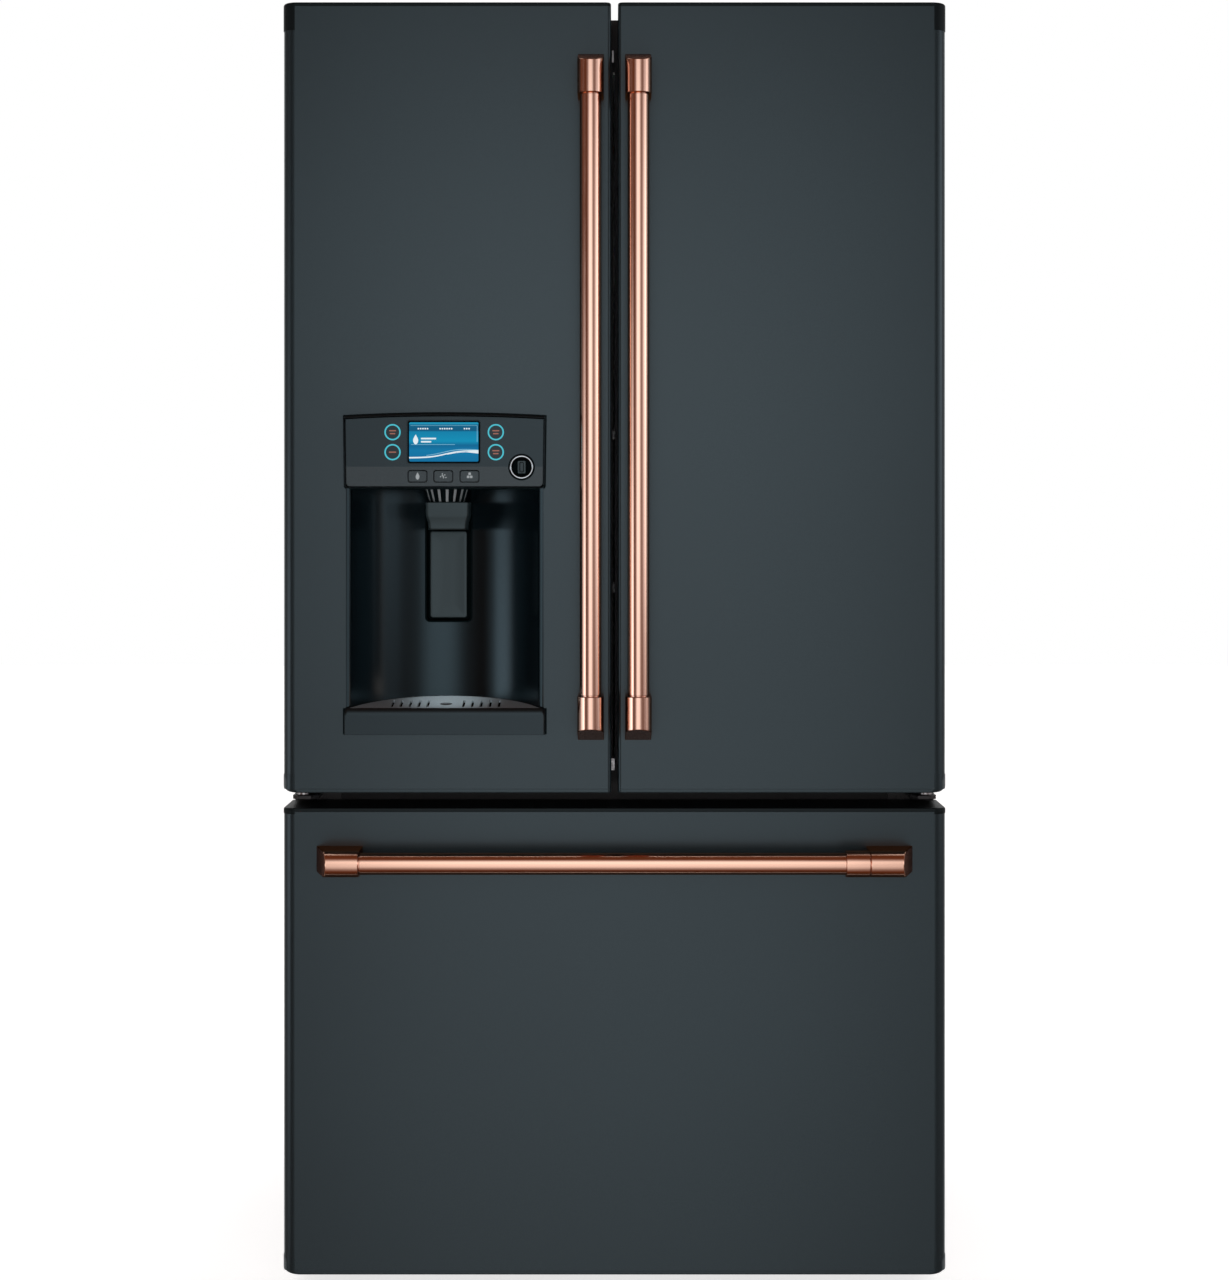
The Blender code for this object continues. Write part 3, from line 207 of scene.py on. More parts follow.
DOOR_PAINT = finish(
    "matte_slate_paint", "matte_black_steel", (0.0072, 0.0138, 0.0168), 0.28,
    grain=2600.0, spread=0.16, rough_spread=0.035, relief=0.05, depth=0.00008, cloud=1.4,
    Specular_IOR_Level=0.62, Specular_Tint=(0.77, 1.0, 1.10, 1.0),
)
CASE_PAINT = finish(
    "textured_case_paint", "matte_black_steel", (0.0105, 0.0130, 0.0145), 0.46,
    grain=1400.0, spread=0.14, rough_spread=0.08, relief=0.35, depth=0.0003,
    Specular_IOR_Level=0.45,
)
COPPER = (0.93, 0.615, 0.485)
COPPER_EDGE = (0.50, 0.20, 0.095, 1.0)
COPPER_UPRIGHT = finish(
    "copper_upright", "brushed_copper", COPPER, 0.13,
    grain=26.0, stretch=(90, 90, 1.0), spread=0.035, rough_spread=0.04, relief=0.03,
    depth=0.00006, cloud=2.0, Metallic=1.0, Specular_Tint=COPPER_EDGE,
)
COPPER_LEVEL = finish(
    "copper_level", "brushed_copper", (0.90, 0.575, 0.435), 0.14,
    grain=26.0, stretch=(1.0, 90, 90), spread=0.035, rough_spread=0.04, relief=0.03,
    depth=0.00006, cloud=2.0, Metallic=1.0, Specular_Tint=COPPER_EDGE,
)
# The posts' sloped end faces: rougher, unbrushed copper, its colour darkened to paint their shade.
COPPER_PAINTED_SHADE = finish(
    "copper_end_painted_shade", "brushed_copper", (0.56, 0.20, 0.105), 0.27,
    grain=700.0, spread=0.08, rough_spread=0.06, relief=0.05, Metallic=1.0,
)
CAP_PLASTIC = finish(
    "black_end_cap", "white_liner", (0.0020, 0.0042, 0.0050), 0.44,
    grain=1800.0, spread=0.12, relief=0.12, depth=0.0002,
    Specular_IOR_Level=0.24, Specular_Tint=(0.80, 1.0, 1.06, 1.0),
)
BASE_CAP_PLASTIC = finish(
    "slate_end_cap", "white_liner", (0.0068, 0.0132, 0.0160), 0.29,
    grain=1800.0, spread=0.12, relief=0.08, depth=0.0001,
    Specular_IOR_Level=0.60, Specular_Tint=(0.76, 1.0, 1.10, 1.0),
)
BLACK_PLASTIC = finish(
    "textured_black_plastic", "black_plastic", (0.010, 0.012, 0.014), 0.50,
    grain=1500.0, spread=0.15, relief=0.35, depth=0.0003,
)
PANEL_PLASTIC = finish(
    "dark_grey_bezel", "gloss_black", (0.0040, 0.0066, 0.0078), 0.30,
    grain=1900.0, spread=0.08, relief=0.05, depth=0.0001,
    Specular_IOR_Level=0.50, Specular_Tint=(0.72, 0.98, 1.10, 1.0),
)
# A lighter copy of the bezel plastic, for its lower band and the keys: the band leans back, and
# the lighter colour paints the reflection it catches.
BAND_PAINTED_REFLECTION = finish(
    "grey_band_painted_reflection", "gloss_black", (0.0185, 0.0250, 0.0275), 0.30,
    grain=1900.0, spread=0.08, relief=0.05, depth=0.0001,
    Specular_IOR_Level=0.54, Specular_Tint=(0.80, 0.98, 1.06, 1.0),
)
RECESS_PLASTIC = finish(
    "polished_recess", "gloss_black", (0.0010, 0.0026, 0.0036), 0.19,
    grain=1200.0, spread=0.10, rough_spread=0.03, relief=0.02, depth=0.0001,
    Specular_IOR_Level=0.52, Specular_Tint=(0.64, 0.97, 1.12, 1.0),
)
# Near-black used as painted shade: inside the paddle slot, the funnel and the socket well, on the
# rim round the slot, on the recess's ceiling and floor, and as the painted shadow lines round the
# panel, the ledge and the socket. It is also the real black frame of the screen.
PAINTED_SHADE_AND_BLACK_FRAME = finish(
    "painted_shade_and_black_frame", "gloss_black", (0.0007, 0.0015, 0.0020), 0.6, spread=0.2, relief=0.1,
    Specular_IOR_Level=0.12, Specular_Tint=(0.5, 1.0, 1.1, 1.0),
)
PADDLE_PLASTIC = finish(
    "satin_paddle", "gloss_black", (0.0100, 0.0165, 0.0180), 0.33,
    grain=1600.0, spread=0.08, relief=0.06,
    Specular_IOR_Level=0.58, Specular_Tint=(0.74, 0.98, 1.06, 1.0),
)
WHITE_PLASTIC = finish(
    "white_liner_plastic", "white_liner", (0.80, 0.82, 0.83), 0.34,
    grain=420.0, spread=0.015, relief=0.06, depth=0.0003, Subsurface_Weight=0.05,
    Subsurface_Scale=0.004,
)
RUBBER = finish(
    "seal_rubber", "gasket_rubber", (0.035, 0.037, 0.040), 0.62,
    grain=1100.0, spread=0.18, relief=0.25, depth=0.0003,
)
CLEAR = finish(
    "clear_bin_plastic", "clear_plastic", (0.93, 0.96, 0.98), 0.06,
    grain=500.0, spread=0.01, rough_spread=0.03, relief=0.03,
    Transmission_Weight=0.96, IOR=1.38,
)
FROSTED = finish(
    "frosted_bin_plastic", "clear_plastic", (0.90, 0.94, 0.96), 0.30,
    grain=1300.0, spread=0.02, rough_spread=0.06, relief=0.12,
    Transmission_Weight=0.70, IOR=1.38,
)
GLASS = finish(
    "tempered_shelf_glass", "shelf_glass", (0.82, 0.94, 0.91), 0.03,
    grain=300.0, spread=0.01, rough_spread=0.015, relief=0.01,
    Transmission_Weight=0.97, IOR=1.45,
)
TRIM = finish(
    "satin_trim", "shelf_glass", (0.62, 0.64, 0.66), 0.30,
    grain=60.0, stretch=(1, 60, 60), spread=0.05, relief=0.06, Metallic=0.85,
)
ZINC = finish(
    "zinc_plate", "zinc_steel", (0.56, 0.57, 0.58), 0.34,
    grain=160.0, spread=0.10, rough_spread=0.12, relief=0.10, Metallic=1.0, cloud=30.0,
)
TRAY_STEEL = finish(
    "brushed_tray", "zinc_steel", (0.50, 0.62, 0.68), 0.42,
    grain=30.0, stretch=(80, 3, 80), spread=0.18, rough_spread=0.08, relief=0.12, Metallic=0.35,
)
ENAMEL = finish(
    "black_enamel", "dark_steel", (0.018, 0.019, 0.021), 0.32,
    grain=260.0, spread=0.12, relief=0.20, depth=0.0004,
)
GREY_PLASTIC = finish(
    "moulded_grey", "grey_plastic", (0.18, 0.205, 0.215), 0.42,
    grain=1300.0, spread=0.05, relief=0.25, depth=0.0003,
)
COVER_PLASTIC = finish(
    "moulded_dark_cover", "grey_plastic", (0.055, 0.058, 0.062), 0.55,
    grain=1200.0, spread=0.10, relief=0.35, depth=0.0004,
)
CHROME = finish(
    "polished_ring", "gloss_black", (0.58, 0.68, 0.73), 0.16,
    grain=300.0, spread=0.04, relief=0.02, Metallic=1.0,
)
CYAN = glow("cyan_ring_print", "screen_glass", (0.05, 0.66, 0.80), 0.72)
RED_MARK = glow("warm_mark_print", "gloss_black", (0.60, 0.20, 0.13), 0.50)
PALE_MARK = glow("pale_mark_print", "gloss_black", (0.55, 0.60, 0.62), 0.52)
WHITE_MARK = glow("lit_white_mark", "screen_glass", (0.85, 0.95, 1.0), 0.85)
LIGHT_BLUE = glow("lit_pale_blue", "screen_glass", (0.22, 0.62, 0.84), 0.75)
LAMP = glow("lamp_lens", "white_liner", (1.0, 0.97, 0.92), 0.12, base=(0.8, 0.8, 0.8))


def make_screen_material():
    """The lit picture: blue that is darker towards the bottom, with a deeper bar along its top."""
    material, tree, shader = new_material("lit_screen", "screen_glass")
    up = place_parts(tree, "Object")["Z"]
    ranged = scalar(tree, up, 0.0, 1.0, *span("display_screen", Z))
    ramp = node(tree, "ShaderNodeValToRGB")
    stops = ramp.color_ramp.elements
    stops[0].position, stops[0].color = 0.0, (0.0, 0.150, 0.330, 1)
    stops[1].position, stops[1].color = 1.0, (0.0, 0.250, 0.430, 1)
    for position, colour in (
        (0.30, (0.0, 0.185, 0.390, 1)),
        (0.42, (0.0, 0.130, 0.290, 1)),
        (0.52, (0.0, 0.270, 0.470, 1)),
        (0.74, (0.0, 0.215, 0.400, 1)),
        (0.765, (0.0, 0.095, 0.200, 1)),
        (0.905, (0.0, 0.120, 0.240, 1)),
        (0.925, (0.01, 0.310, 0.500, 1)),
    ):
        stops.new(position).color = colour
    link(tree, ranged, ramp.inputs[0])
    link(tree, ramp.outputs["Color"], shader.inputs["Emission Color"])
    for socket, value in (
        ("Emission Strength", 0.95), ("Base Color", (0.0, 0.006, 0.012, 1)),
        ("Specular IOR Level", 0.10), ("Roughness", 0.25),
    ):
        shader.inputs[socket].default_value = value
    return material


SCREEN = make_screen_material()


# ---------------------------------------------------------------- mesh tools
def at(axis, u, v, w):
    """A point from two coordinates across an axis and one along it."""
    return {X: (w, u, v), Y: (u, w, v), Z: (u, v, w)}[axis]


def round_rect(u, v, radius, steps=6):
    """Corner points of a rectangle with rounded corners, in order round it."""
    (u0, u1), (v0, v1) = u, v
    radius = max(min(radius, (u1 - u0) / 2 - 1e-5, (v1 - v0) / 2 - 1e-5), 2e-5)
    points = []
    for cu, cv, start in (
        (u1 - radius, v0 + radius, -90),
        (u1 - radius, v1 - radius, 0),
        (u0 + radius, v1 - radius, 90),
        (u0 + radius, v0 + radius, 180),
    ):
        for step in range(steps + 1):
            turn = radians(start + 90 * step / steps)
            points.append((cu + radius * cos(turn), cv + radius * sin(turn)))
    return points


def loft(bm, rings, cyclic=False):
    """Joins rings of equally many points; the first and last are closed unless cyclic."""
    loops = [[bm.verts.new(point) for point in ring] for ring in rings]
    pairs = list(zip(loops, loops[1:]))
    if cyclic:
        pairs.append((loops[-1], loops[0]))
    for first, second in pairs:
        for i in range(len(first)):
            j = (i + 1) % len(first)
            bm.faces.new((first[i], first[j], second[j], second[i]))
    if not cyclic:
        bm.faces.new(loops[0][::-1])
        bm.faces.new(loops[-1])
    return bm


def prism(outline, axis, start, end, bm=None):
    """An outline pulled along an axis."""
    bm = bm or bmesh.new()
    return loft(bm, [[at(axis, u, v, w) for u, v in outline] for w in (start, end)])


def plate(u, v, radius, steps, axis, start, end, bm=None):
    """A rectangle with rounded corners, pulled along an axis."""
    return prism(round_rect(u, v, radius, steps), axis, start, end, bm)


def stack(u, v, levels, radius, steps, axis, shrink=0.0, cyclic=False):
    """Rounded rectangles joined to one shape. A level is an inset and a place on the axis."""
    rings = []
    for inset, w in levels:
        outline = round_rect(grow(u, -inset), grow(v, -inset), radius - inset * shrink, steps)
        rings.append([at(axis, a, b, w) for a, b in outline])
    return loft(bmesh.new(), rings, cyclic)


def block(x, y, z, bm=None):
    """A plain box, used as a base for bevels and cuts."""
    return prism([(x[0], y[0]), (x[1], y[0]), (x[1], y[1]), (x[0], y[1])], Z, z[0], z[1], bm)


def rod(start, end, radius, segments=32, bm=None, end_radius=None):
    """A round bar between two points."""
    bm = bm or bmesh.new()
    start, end = Vector(start), Vector(end)
    run = end - start
    turn = Vector((0, 0, 1)).rotation_difference(run).to_matrix().to_4x4()
    made = bmesh.ops.create_cone(
        bm, cap_ends=True, segments=segments, radius1=radius,
        radius2=radius if end_radius is None else end_radius, depth=run.length,
    )
    place = Matrix.Translation((start + end) / 2)
    bmesh.ops.transform(bm, verts=made["verts"], matrix=place @ turn)
    return bm


def turned(profile, centre, axis, segments=48, bm=None):
    """A closed ring of (radius, distance along the axis) points turned round the axis."""
    bm = bm or bmesh.new()
    centre = Vector(centre)
    rings = []
    for step in range(segments):
        turn = 2 * pi * step / segments
        points = [at(axis, radius * cos(turn), radius * sin(turn), w) for radius, w in profile]
        rings.append([Vector(point) + centre for point in points])
    return loft(bm, rings, cyclic=True)


def new_object(name, bm):
    """Puts the mesh into the scene."""
    mesh = bpy.data.meshes.new(name)
    bm.to_mesh(mesh)
    bm.free()
    made = bpy.data.objects.new(name, mesh)
    bpy.context.scene.collection.objects.link(made)
    return made


def piece(name, bm, body, material, replaces=(), bevel=0.0, angle=32, extra=()):
    """Makes an object of the mesh, rides it on its body and hides the CAD nodes it stands for."""
    bmesh.ops.recalc_face_normals(bm, faces=bm.faces)
    made = new_object(name, bm)
    for surface in (material, *extra):
        made.data.materials.append(surface)
    made.data.shade_smooth()
    made.data.set_sharp_from_angle(angle=radians(angle))
    if bevel:
        softened = made.modifiers.new("soft_edges", "BEVEL")
        softened.width = bevel
        softened.segments = 3
        softened.limit_method = "ANGLE"
        softened.angle_limit = radians(40)
        softened.harden_normals = True
    flat = made.modifiers.new("flat_faces", "WEIGHTED_NORMAL")
    flat.keep_sharp = True
    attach(made, body)
    if replaces:
        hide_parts(*replaces)
    return made


def cut(target, *tools):
    """Takes shapes away from a piece at once, before its edges are softened."""
    for bm in tools:
        bmesh.ops.recalc_face_normals(bm, faces=bm.faces)
        cutter = new_object("cutter", bm)
        modifier = target.modifiers.new("cut", "BOOLEAN")
        modifier.operation = "DIFFERENCE"
        modifier.solver = "EXACT"
        modifier.object = cutter
        while target.modifiers[0] != modifier:
            index = list(target.modifiers).index(modifier)
            target.modifiers.move(index, index - 1)
        chosen = {"object": target, "active_object": target, "selected_objects": [target]}
        with bpy.context.temp_override(**chosen):
            bpy.ops.object.modifier_apply(modifier=modifier.name)
        bpy.data.objects.remove(cutter)
    target.data.set_sharp_from_angle(angle=radians(32))
    return target


def tub(u, v, closed, opened, wall, corner, fillet, axis, draft=0.0, steps=6, lip=0.0008):
    """An open box with rounded corners and a rounded floor edge, opening along an axis."""
    sense = 1 if opened > closed else -1
    depth = abs(opened - closed)

    turns = [pi / 2 * step / 4 for step in range(5)]
    levels = [
        (fillet * (1 - sin(turn)), closed + sense * fillet * (1 - cos(turn))) for turn in turns
    ]
    levels += [
        (0, opened - sense * lip), (wall * 0.3, opened), (wall * 0.7, opened),
        (wall, opened - sense * lip),
    ]
    for turn in reversed(turns):
        w = closed + sense * (wall + fillet * (1 - cos(turn)))
        levels.append((wall + fillet * (1 - sin(turn)), w))
    rings = []
    for inset, w in levels:
        inset = inset + draft * (1 - abs(w - closed) / depth)
        radius = max(corner - inset, 0.001)
        outline = round_rect(grow(u, -inset), grow(v, -inset), radius, steps)
        rings.append([at(axis, a, b, w) for a, b in outline])
    return loft(bmesh.new(), rings)


def side_span(side, span_of_x):
    return tuple(sorted(side * value for value in span_of_x))


def rounding(distance, radius):
    """How far a quarter round of a radius has fallen away at a distance from its end."""
    if distance >= radius:
        return 0.0
    return radius - sqrt(max(radius**2 - (radius - max(distance, 0.0)) ** 2, 0.0))


def arc(centre, radius, start, end, steps):
    """Points on an arc, in degrees."""
    points = []
    for step in range(steps + 1):
        turn = radians(start + (end - start) * step / steps)
        points.append((centre[0] + radius * cos(turn), centre[1] + radius * sin(turn)))
    return points


def screws(name, body, places, axis, radius=0.004):
    """Pan head screws with a cross slot; axis points out of the surface."""
    bm = bmesh.new()
    outward = Vector(axis)
    rim, crown, slot = outward * 0.0008, outward * 0.0018, outward * 0.0016
    for place in map(Vector, places):
        rod(place - rim, place + rim, radius, 20, bm)
        rod(place + rim, place + crown, radius * 0.94, 20, bm, radius * 0.55)
        across = outward.orthogonal().normalized() * radius * 0.42
        for arm in (across, outward.cross(across)):
            rod(place + slot - arm, place + slot + arm, radius * 0.12, 6, bm)
    piece(name, bm, body, ZINC)


# ---------------------------------------------------------------- doors and the drawer front
def door_outline(inner, outer, front, back, inner_radius, outer_radius, steps=10):
    """From the inner edge's back, round the two front corners, to the outer edge's back."""
    side = 1 if outer > inner else -1
    points = [(inner, back)]
    for centre_x, radius, start in (
        (inner + side * inner_radius, inner_radius, 180),
        (outer - side * outer_radius, outer_radius, 270),
    ):
        for step in range(steps + 1):
            turn = radians(start + 90 * step / steps)
            y = front + radius + radius * sin(turn)
            points.append((centre_x + side * radius * cos(turn), y))
    points.append((outer, back))
    return points


def make_skin(name, body, inner, outer, z, inner_radius, base_radius, node_name):
    """The painted sheet: a front that wraps round both sides, cut round at its lower corners."""
    thick = 0.0012
    side = 1 if outer > inner else -1
    back = DOOR_BACK - 0.003
    outside = door_outline(inner, outer, FACE, back, inner_radius, CORNER_OUT, 12)
    inside = door_outline(
        inner + side * thick, outer - side * thick, FACE + thick, back,
        inner_radius - thick, CORNER_OUT - thick, 12,
    )
    loop = outside + inside[::-1]
    both = inner_radius == CORNER_OUT

    def foot(x):
        distance = HALF - abs(x) if both else HALF - side * x
        return z[0] + max(rounding(distance, base_radius) - CAP_STRIP, 0.0)

    rings = [[(x, y, foot(x)) for x, y in loop], [(x, y, z[1]) for x, y in loop]]
    return piece(name, loft(bmesh.new(), rings), body, DOOR_PAINT, [node_name], angle=50)


def make_cap(
    name, body, inner, outer, end, tall, outer_round, inner_round, inner_radius, material
):
    """A plate over the skin's end, rounded towards the corners. tall is signed, from the end."""
    side = 1 if outer > inner else -1
    sense = 1 if tall > 0 else -1
    rings = []
    for level in (0.0, 0.0003, 0.0008, 0.0016, 0.0028, abs(tall)):
        outline = door_outline(
            inner + side * rounding(level, inner_round),
            outer - side * rounding(level, outer_round),
            FACE + rounding(level, 0.0016), DOOR_BACK - 0.001, inner_radius, CORNER_OUT, 12,
        )
        rings.append([(x, y, end + sense * level) for x, y in outline])
    piece(name, loft(bmesh.new(), rings), body, material, angle=50)


def make_ear(name, body, side, end, tall, corner_round, material):
    """The cap's wrap round the door's outer edge, which stands just proud of the skin."""
    back = DOOR_BACK - 0.002
    proud = 0.0003
    outside = [(side * HALF, back)]
    inside = [(side * (HALF - 0.0012), back)]
    for step in range(11):
        turn = radians(90 * step / 10)
        for points, radius in ((outside, CORNER_OUT + proud), (inside, CORNER_OUT - 0.001)):
            x = HALF - CORNER_OUT + radius * cos(turn) - proud
            points.append((side * min(x, HALF), FACE + CORNER_OUT - radius * sin(turn)))
    loop = outside + inside[::-1]
    sense = 1 if tall > 0 else -1

    def foot(x):
        return end + sense * max(rounding(HALF - abs(x), corner_round), abs(CAP_STRIP) - 0.0004)

    rings = [
        [(x, y, foot(x)) for x, y in loop],
        [(x, y, end + tall - sense * 0.0006) for x, y in loop],
        [(x - side * 0.0005, y + 0.0002, end + tall) for x, y in loop],
    ]
    return piece(name, loft(bmesh.new(), rings), body, material, angle=50)


def make_inner_door(name, body, slab_x, slab_z, dike_x, dike_z, dike_y, replaced):
    """The white inner door: its slab, and the raised dike round the space for the bins."""
    wall = 0.014
    levels = [
        (slab_x, slab_z, 0.0, 0.006, DOOR_BACK - 0.0025),
        (slab_x, slab_z, 0.0004, 0.006, DOOR_BACK - 0.0018),
        (slab_x, slab_z, -0.0006, 0.006, DOOR_BACK),
        (dike_x, dike_z, 0.004, 0.030, DOOR_BACK),
        (dike_x, dike_z, 0.001, 0.027, DOOR_BACK + 0.0025),
        (dike_x, dike_z, 0.0, 0.026, DOOR_BACK + 0.006),
    ]
    for step in range(9):
        turn = pi * step / 8
        inset = wall / 2 * (1 - cos(turn))
        y = dike_y - wall / 2 + wall / 2 * sin(turn)
        levels.append((dike_x, dike_z, -inset, 0.026 - inset, y))
    levels += [
        (dike_x, dike_z, -wall, 0.012, DOOR_BACK + 0.004),
        (dike_x, dike_z, -wall - 0.004, 0.010, DOOR_BACK + 0.0002),
    ]
    rings = []
    for x, z, amount, radius, y in levels:
        outline = round_rect(grow(x, amount), grow(z, amount), radius, 8)
        rings.append([at(Y, u, v, y) for u, v in outline])
    piece(name, loft(bmesh.new(), rings), body, WHITE_PLASTIC, [replaced], angle=40)


def make_seal(name, body, replaced):
    """A moulded door seal: base, two bellows folds and the crowned magnet tube."""
    width = 0.016
    front = DOOR_BACK + 0.0003
    depth = high(replaced, Y) - front
    profile = (
        (0.00, 0.00), (0.00, 0.18), (0.14, 0.30), (0.06, 0.42), (0.04, 0.70), (0.12, 0.90),
        (0.30, 1.00), (0.70, 1.00), (0.88, 0.90), (0.96, 0.70), (0.94, 0.42), (0.86, 0.30),
        (1.00, 0.18), (1.00, 0.00),
    )
    levels = [(across * width, front + along * depth) for across, along in profile]
    x, z = span(replaced, X), span(replaced, Z)
    bm = stack(x, z, levels, 0.016, 4, Y, shrink=0.6, cyclic=True)
    piece(name, bm, body, RUBBER, [replaced], angle=50)


def make_handle(word, body, axis, centre, material, replaced):
    """A brushed bar with a neck groove, between two posts whose outer faces slope to the door."""
    front, foot_y = low(replaced, Y), FACE - 0.0003
    radius, bar, neck = 0.01775, 0.0145, 0.0012
    length, slant, chamfer = 0.063, 0.019, 0.0009
    middle_y = front + radius
    start, end = span(replaced, axis)
    across = Z if axis == X else X

    def point(a, y, w):
        """a is across the bar, w along it."""
        made = [0.0, y, 0.0]
        made[axis] = w
        made[across] = centre + a
        return tuple(made)

    def circle(size, w, segments=64):
        turns = [2 * pi * step / segments for step in range(segments)]
        return [point(size * cos(turn), middle_y + size * sin(turn), w) for turn in turns]

    first, last = start + length, end - length
    rings = [
        circle(size, w)
        for w, size in (
            (first - 0.006, bar - neck), (first + neck, bar - neck),
            (first + neck * 1.2, bar - 0.0003), (first + neck * 1.6, bar),
            (last - neck * 1.6, bar), (last - neck * 1.2, bar - 0.0003),
            (last - neck, bar - neck), (last + 0.006, bar - neck),
        )
    ]
    piece(f"{word}_grip", loft(bmesh.new(), rings), body, material, [replaced], angle=60)

    turns = [pi * step / 40 for step in range(41)]
    section = [(radius * cos(turn), middle_y - radius * sin(turn)) for turn in turns]
    section += [(-radius, foot_y), (radius, foot_y)]
    for number, (origin, sense) in enumerate(((start, 1), (end, -1))):
        rings = []
        for distance, inset, leans in (
            (0.0, chamfer, 1), (chamfer * 0.4, chamfer * 0.35, 1), (chamfer, 0.0, 1),
            (length - chamfer, 0.0, 0), (length - 0.0003, chamfer * 0.5, 0), (length, chamfer, 0),
        ):
            shrink = 1 - inset / radius
            ring = []
            for a, y in section:
                lean = leans * slant * (foot_y - y) / (foot_y - front)
                inner_y = middle_y + (y - middle_y) * shrink if y < middle_y else y
                ring.append(point(a * shrink, inner_y, origin + sense * (lean + distance)))
            rings.append(ring)
        name, bm = f"{word}_post_{number}", loft(bmesh.new(), rings)
        post = piece(name, bm, body, material, angle=28, extra=[COPPER_PAINTED_SHADE])
        slope = Vector(point(0, 0, 1)) - Vector(point(0, 0, 0))
        # The sloped end faces take the darker copper: painted shade.
        for face in post.data.polygons:
            if face.normal.dot(slope) * sense < -0.8 and len(face.vertices) > 8:
                face.material_index = 1


def make_doors():
    for side, word in WORD.items():
        body = f"{word}_door"
        panel, liner = f"{word}_door_panel", f"{word}_door_liner"
        inner = side * abs(high(panel, X) if side < 0 else low(panel, X))
        outer = side * (HALF - SIDE_PROUD)
        top, base = high(liner, Z), low(liner, Z)
        z = span(panel, Z)
        skin = make_skin(
            f"{word}_door_skin", body, inner, outer, z, CORNER_IN, DOOR_BASE_ROUND, panel
        )
        if side < 0:
            x, z = (span("dispenser_housing", axis, 0.004) for axis in (X, Z))
            cut(skin, block(x, (FACE - 0.01, FACE + 0.03), (z[0] + 0.006, z[1] - 0.004)))
        arm_slot = (
            side_span(side, (HALF - 0.018, HALF + 0.01)), (FACE + 0.0235, DOOR_BACK + 0.01),
            (CASE_TOP - 0.0012, top - 0.004),
        )
        cut(skin, block(*arm_slot))
        ends = (
            ("top", top, -CAP_STRIP, -0.038, DOOR_TOP_ROUND, 0.003, CAP_PLASTIC),
            ("base", base, CAP_STRIP, 0.025, DOOR_BASE_ROUND, 0.001, BASE_CAP_PLASTIC),
        )
        for end, level, tall, _, outer_round, inner_round, material in ends:
            make_cap(
                f"{word}_{end}_cap", body, inner, side * HALF, level, tall, outer_round,
                inner_round, CORNER_IN, material,
            )
        for end, level, _, tall, outer_round, _, material in ends:
            ear = make_ear(f"{word}_{end}_ear", body, side, level, tall, outer_round, material)
            if end == "top":
                cut(ear, block(*arm_slot))
                make_arm_pocket(word, body, side, inner, top)
        step = side * 0.0034
        make_inner_door(
            f"{word}_inner_door", body, tuple(sorted((inner + step, outer - step))),
            (base + 0.002, top - 0.028), side_span(side, (0.050, 0.398)), (0.750, 1.690),
            high(liner, Y), liner,
        )
        make_seal(f"{word}_door_seal", body, f"{word}_door_gasket")
        handle = f"{word}_handle"
        make_handle(word, body, Z, centre_of(handle, X), COPPER_UPRIGHT, handle)


def make_arm_pocket(word, body, side, inner, top):
    """The wall under the top cap: closes the door's back and goes round the hinge arm's slot."""
    wall = 0.0020
    start, turn, end = abs(inner) + 0.0013, 0.408, HALF - 0.0020
    back, front = DOOR_BACK - 0.0012, FACE + 0.0232
    outline = [
        (start, back), (turn, back), (turn, front), (end, front), (end, front - wall),
        (turn - wall, front - wall), (turn - wall, back - wall), (start, back - wall),
    ]
    z = (top - 0.0295, top - CAP_STRIP + 0.0002)
    bm = prism([(side * x, y) for x, y in outline], Z, *z)
    piece(f"{word}_arm_pocket", bm, body, CAP_PLASTIC, bevel=0.0003)


def make_drawer_front():
    body = "freezer_drawer"
    panel, liner = "drawer_panel", "drawer_liner"
    outer = HALF - SIDE_PROUD
    z = span(panel, Z)
    make_skin("drawer_skin", body, -outer, outer, z, CORNER_OUT, DRAWER_BASE_ROUND, panel)
    top, base = high(liner, Z), low(liner, Z)
    ends = (
        ("top", top, -CAP_STRIP, -0.0085, DRAWER_TOP_ROUND, CAP_PLASTIC),
        ("base", base, CAP_STRIP, 0.025, DRAWER_BASE_ROUND, BASE_CAP_PLASTIC),
    )
    for end, level, tall, _, radius, material in ends:
        name = f"drawer_{end}_cap"
        make_cap(name, body, -HALF, HALF, level, tall, radius, radius, CORNER_OUT, material)
    for side, word in WORD.items():
        for end, level, _, tall, radius, material in ends:
            make_ear(f"drawer_{word}_{end}_ear", body, side, level, tall, radius, material)
    make_inner_door(
        "drawer_inner", body, (-outer + 0.0034, outer - 0.0034), (base + 0.002, top - 0.002),
        (-0.3825, 0.3825), (0.128, 0.615), high(liner, Y), liner,
    )
    make_seal("drawer_seal", body, "drawer_gasket")
    centre = centre_of("drawer_handle", Z)
    make_handle("drawer", body, X, centre, COPPER_LEVEL, "drawer_handle")
    x = span("handle_collar", X)
    radius = (high("handle_collar", Z) - low("handle_collar", Z)) / 2
    bore = 0.0148
    profile = [
        (bore, x[0]), (radius - 0.0008, x[0]), (radius - 0.0002, x[0] + 0.0003),
        (radius, x[0] + 0.0008), (radius, x[1] - 0.0008), (radius - 0.0002, x[1] - 0.0003),
        (radius - 0.0008, x[1]), (bore, x[1]),
    ]
    bm = turned(profile, (0, low("handle_collar", Y) + radius, centre), X, 64)
    piece("handle_band", bm, body, COPPER_LEVEL, ["handle_collar"], angle=60)


